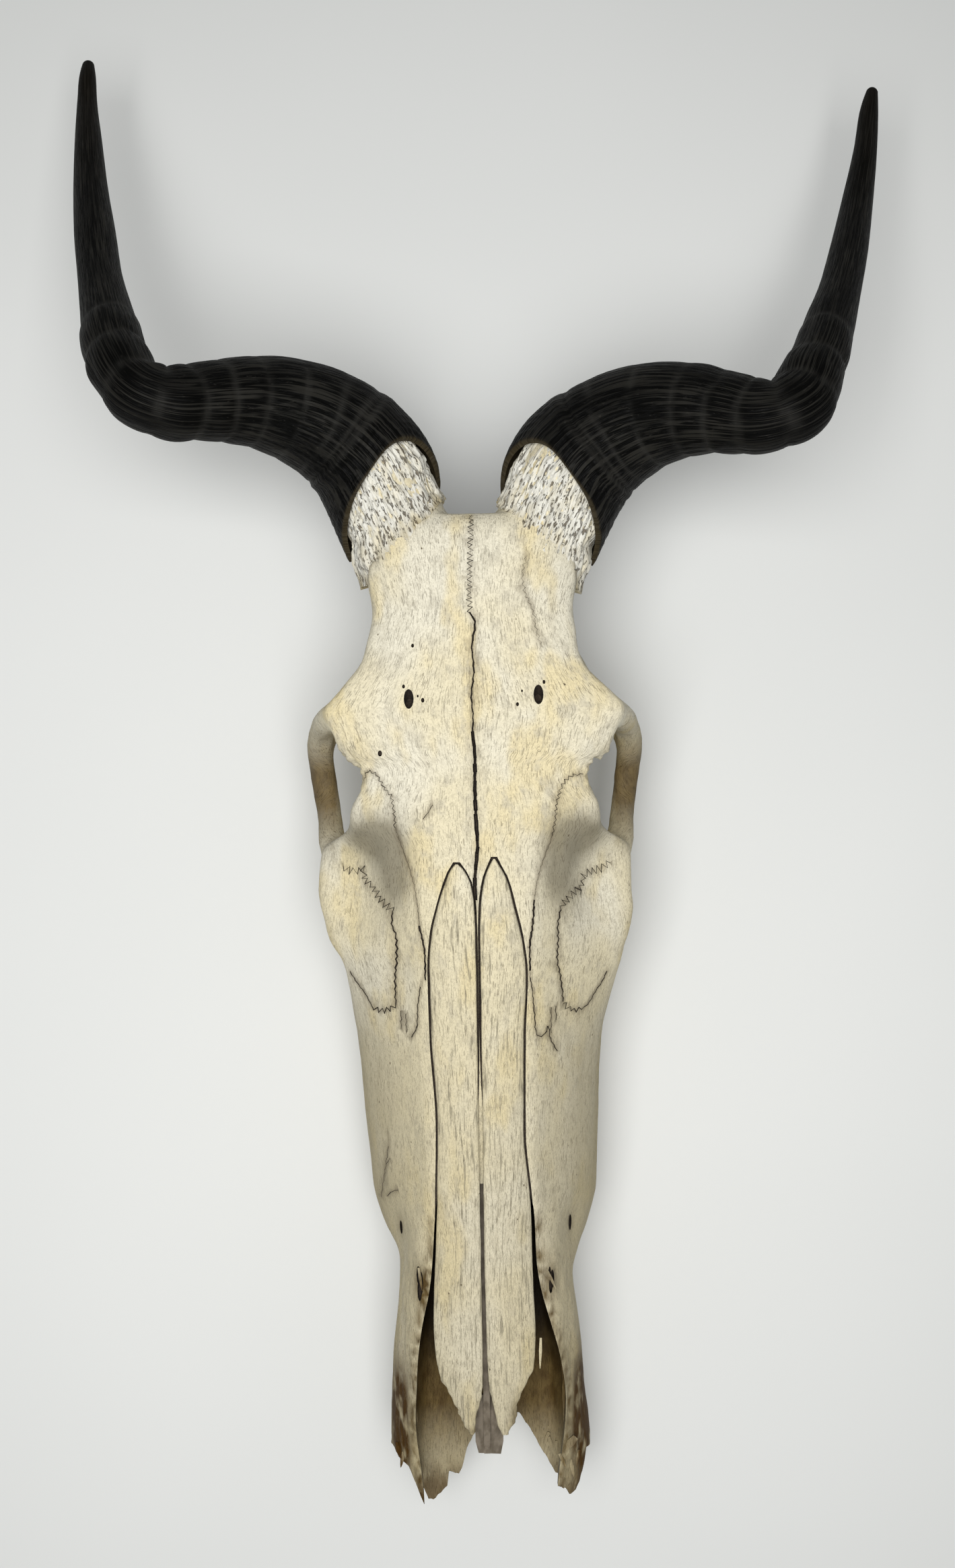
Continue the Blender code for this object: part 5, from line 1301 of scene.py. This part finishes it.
def skull(look, crack):
    bone = skull_body()
    bone.data.materials.clear()
    bone.data.materials.append(look)
    cut(bone, resting_block("rest"))
    for x, y, wide, tall in BROW_HOLES:
        rows = [(x, y + along, z, wide * size, tall * size) for along, z, size in BROW_HOLE_PATH]
        cut_dark(bone, bar("brow_hole", rows, 16, 0.002), crack)
    surface = surface_of(bone)
    for x, y, wide in BROW_PITS:
        radii = (wide, wide * PIT_STRETCH, PIT_DEPTH)
        cut_dark(bone, ball("brow_pit", (x, y, ground_at(surface, x, y).z), radii, 12), crack)
    for place in CHEEK_HOLES:
        cut_dark(bone, ball("cheek_hole", place, CHEEK_HOLE_RADII, 24), crack)
    for x, y, z, wide, long in RIM_HOLES:
        for aside, ahead, size in RIM_BITES:
            centre = (x + aside, y + ahead * long, z)
            cut_dark(bone, ball("rim_hole", centre, (wide * size, long * size, RIM_HOLE_DEPTH), 16), crack)
    for rows in (NASAL_LEFT, NASAL_RIGHT):
        cut_dark(bone, loft("slot", nasal_rings(rows, SLOT_GAP, 0.004, 32, 0.0, SLOT_LIFT)), crack)
    cut_dark(bone, septum("slot", GAP), crack)
    for side in (1, -1):
        for name, place, length, width in tooth_places():
            cut_dark(bone, tooth("socket", place, length, width, side, GAP), crack)
    cut_seams(bone, crack)
    keep_largest(bone)
    bone_values(bone)
    write_value(bone, "streaky", np.full(len(bone.data.vertices), 0.25))
    return bone


def splinters(bone):
    """Thin shards that hang in the rim holes and the nose gap and stand at the broken front."""
    surface = surface_of(bone)
    points, faces = [], []
    for x, y, z, turn, length, wide in SHARDS:
        ground = ground_at(surface, x, y)
        top = z if ground is None or z < 0 else ground.z + z
        ahead = np.array([math.sin(math.radians(turn)), -math.cos(math.radians(turn)), SHARD_DROP])
        side = np.array([-ahead[1], ahead[0], 0])
        middle = np.array([x, y, top])
        k = len(points)
        for along, half, thick in SHARD_SECTIONS:
            place = middle + ahead * along * length
            for across, level in ((-1, -1), (1, -1), (1, 1), (-1, 1)):
                points.append(place + side * across * half * wide + np.array(UP) * level * thick)
        faces += [(k, k + 1, k + 2, k + 3), (k + 12, k + 13, k + 14, k + 15)]
        faces += [(k + 4 * i + j, k + 4 * i + (j + 1) % 4, k + 4 * i + 4 + (j + 1) % 4, k + 4 * i + 4 + j)
                  for i in range(3) for j in range(4)]
    return mesh_object("splinters", points, faces)


def bone_values(bone):
    """Grain direction and the places of tan bone and of painted shade in the hollows by the orbits, for its
    material.
    """
    places = points_of(bone)
    paired = folded(places)
    x, y, z = places.T
    waist = rail(ORBIT_SHELF_TOP, np.clip(y, -0.05, WAIST_END))[:, 0] * (1 + 8 * np.clip(y - WAIST_END, 0, 1))
    write_vector(bone, "grain", np.column_stack([x * EVEN_WIDTH / waist, y, z]))
    tan = 0.55 * np.minimum(ramp(y, *TAN_NOSE), 0.8) + 0.25 * ramp(y, *TAN_TIP)
    tan += 0.35 * ramp(paired[:, 0], *TAN_SIDE) * ramp(y, *TAN_SIDE_END)
    tan += 0.45 * ramp(z, *TAN_BELOW)
    write_value(bone, "tan", np.clip(tan, 0, 0.9))
    # Painted shade in the hollows before the orbits and on the orbit shelves
    write_value(bone, "hollow_shade", np.clip(patches(paired, SHADE_PATCHES), 0, 0.88))
    nose_values(bone, places)
    seam_grime_and_shade(bone, places)


def nose_values(bone, places):
    """Places of brown, dark and stained bone: cheek straps and inside of the nose, whose brown is partly
    painted shade, near-black painted shade deep in the nose, its rims and its walls.
    """
    x, y, z = places.T
    # Cheek straps below the orbit shelves: brown, partly painted shade on their inner faces
    strap = ramp(np.abs(x), *STRAP_OUT) * ramp(np.abs(y - ORBIT_CENTRE[1]), *STRAP_ALONG)
    strap *= ramp(z, *STRAP_BELOW)
    left, right = rail([row[:3] for row in NOSE_HOLLOW], y).T
    inside = (x > -left - HOLLOW_SKIN) * (x < right + HOLLOW_SKIN) * (y < HOLLOW_END) * (z > HOLLOW_FLOOR)
    inside = inside * ramp(z, rail(BROW_EDGE, y)[:, 1] - BELOW_RIM, RIM_SHADE)
    # Near-black painted shade deep in the nose hollow, growing towards its back
    write_value(bone, "deep", inside * np.minimum(ramp(y, *NOSE_SHADE_RAMP), 0.95))
    # Inside of the nose: brown, partly painted shade, lighter towards the open front
    inside *= np.clip(0.45 + (y + 0.020) / 0.035, 0.35, 1)
    left, right = rail(NOSE_RIM, y).T
    beyond = np.where(x < 0, -x - left, x - right)
    worn = np.exp(-((beyond - 0.0012) / 0.0022) ** 2) * ramp(y, *WORN_RIM) * (z > RIM_FLOOR)
    worn = worn * np.clip(0.60 + noise_at(places, 0.0030, 8), 0, 1) + patches(places, BROWN_PATCHES)
    write_value(bone, "brown", np.clip(0.92 * strap + inside + worn, 0, 1))
    stain = patches(places, STAIN_PATCHES) * ramp(beyond, *STAIN_OUT) + 0.7 * ramp(y, *STAIN_TIP)
    write_value(bone, "stain", np.clip(stain, 0, 1))


def seam_grime_and_shade(bone, places):
    """Grime and painted shade close to the seams and the lips of the horn cores, as seen from above."""
    lines = [place for *_, points in SEAMS for place in path(points, 0.001)[0]]
    tree = KDTree(len(lines))
    for x, y in lines:
        tree.insert((x, y, 0), 0)
    tree.balance()
    away = np.array([tree.find((x, y, 0))[2] for x, y, _ in places])
    write_value(bone, "grime_and_shade", np.exp(-(away / SEAM_GRIME_AND_SHADE) ** 2) * (places[:, 2] > -0.06))


def dress(obj, look, slot, *nodes, smooth_angle=50):
    """Put a piece in its place with its material, and hide the solids of the model that it stands for."""
    if look is not None:
        obj.data.materials.clear()
        obj.data.materials.append(look)
    obj.data.shade_smooth()
    obj.data.set_sharp_from_angle(angle=math.radians(smooth_angle))
    obj.data.transform(FACE)
    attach(obj, "root")
    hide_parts(*nodes)


def make_floor(look):
    places = [(x * FLOOR_HALF, y * FLOOR_HALF, 0) for x, y in ((-1, -1), (1, -1), (1, 1), (-1, 1))]
    floor = mesh_object("floor", places, [(0, 1, 2, 3)])
    floor.data.materials.append(look)


def make_light():
    """Soft even room light, and one lamp just above the camera that looks where it looks."""
    world = bpy.data.worlds.new("room")
    world.use_nodes = True
    background = world.node_tree.nodes["Background"]
    background.inputs["Color"].default_value = ROOM_COLOUR
    background.inputs["Strength"].default_value = ROOM_STRENGTH
    bpy.context.scene.world = world
    light = bpy.data.lights.new("lamp", "AREA")
    light.shape, light.size, light.energy, light.spread = "SQUARE", LAMP_SIZE, LAMP_WATTS, LAMP_SPREAD
    lamp = bpy.data.objects.new("lamp", light)
    bpy.context.scene.collection.objects.link(lamp)
    place, aim = FACE @ (Vector(CAMERA_PLACE) + Vector(LAMP_OFFSET)), FACE @ Vector(LAMP_AIM)
    lamp.location = place
    lamp.rotation_euler = (aim - place).to_track_quat("-Z", "Y").to_euler()


def make_camera():
    camera = bpy.data.cameras.new("camera")
    camera.sensor_fit, camera.sensor_height, camera.lens = "VERTICAL", SENSOR_HEIGHT, FOCAL_LENGTH
    obj = bpy.data.objects.new("camera", camera)
    bpy.context.scene.collection.objects.link(obj)
    obj.matrix_world = FACE @ Matrix.Translation(CAMERA_PLACE) @ Matrix.Rotation(CAMERA_ROLL, 4, "Z")
    bpy.context.scene.camera = obj


def main():
    bone, crack, core, horn = bone_look(), crack_look(), core_look(), horn_look()
    enamel, gristle = tooth_look(), gristle_look()
    body = skull(bone, crack)
    shards = splinters(body)
    bone_values(shards)
    dress(body, None, "bone", "skull", smooth_angle=60)
    dress(shards, bone, "bone", "skull", smooth_angle=20)
    for word, rows in (("left", NASAL_LEFT), ("right", NASAL_RIGHT)):
        piece = nasal_bone(f"nasal_bone_{word}", rows)
        bone_values(piece)
        write_value(piece, "streaky", np.ones(len(piece.data.vertices)))
        dress(piece, bone, "bone", f"nasal_{word}")
    dress(septum("nose_septum"), gristle, "gristle", "septum")
    for word, rows, seed in (("left", HORN_LEFT, 20), ("right", HORN_RIGHT, 30)):
        dress(horn_sheath(f"sheath_{word}", rows, seed), horn, "horn", f"horn_sheath_{word}")
        dress(rough_core(f"horn_core_{word}", rows, seed + 40), core, "bone", "skull")
    for side, word in ((-1, "left"), (1, "right")):
        for name, place, length, width in tooth_places():
            piece = tooth(f"tooth_{name}_{word}", place, length, width, side)
            dress(piece, enamel, "tooth", f"{name}_{word}", smooth_angle=40)
    make_floor(floor_look())
    make_light()
    make_camera()
    bpy.context.scene.view_settings.view_transform = "Standard"


main()
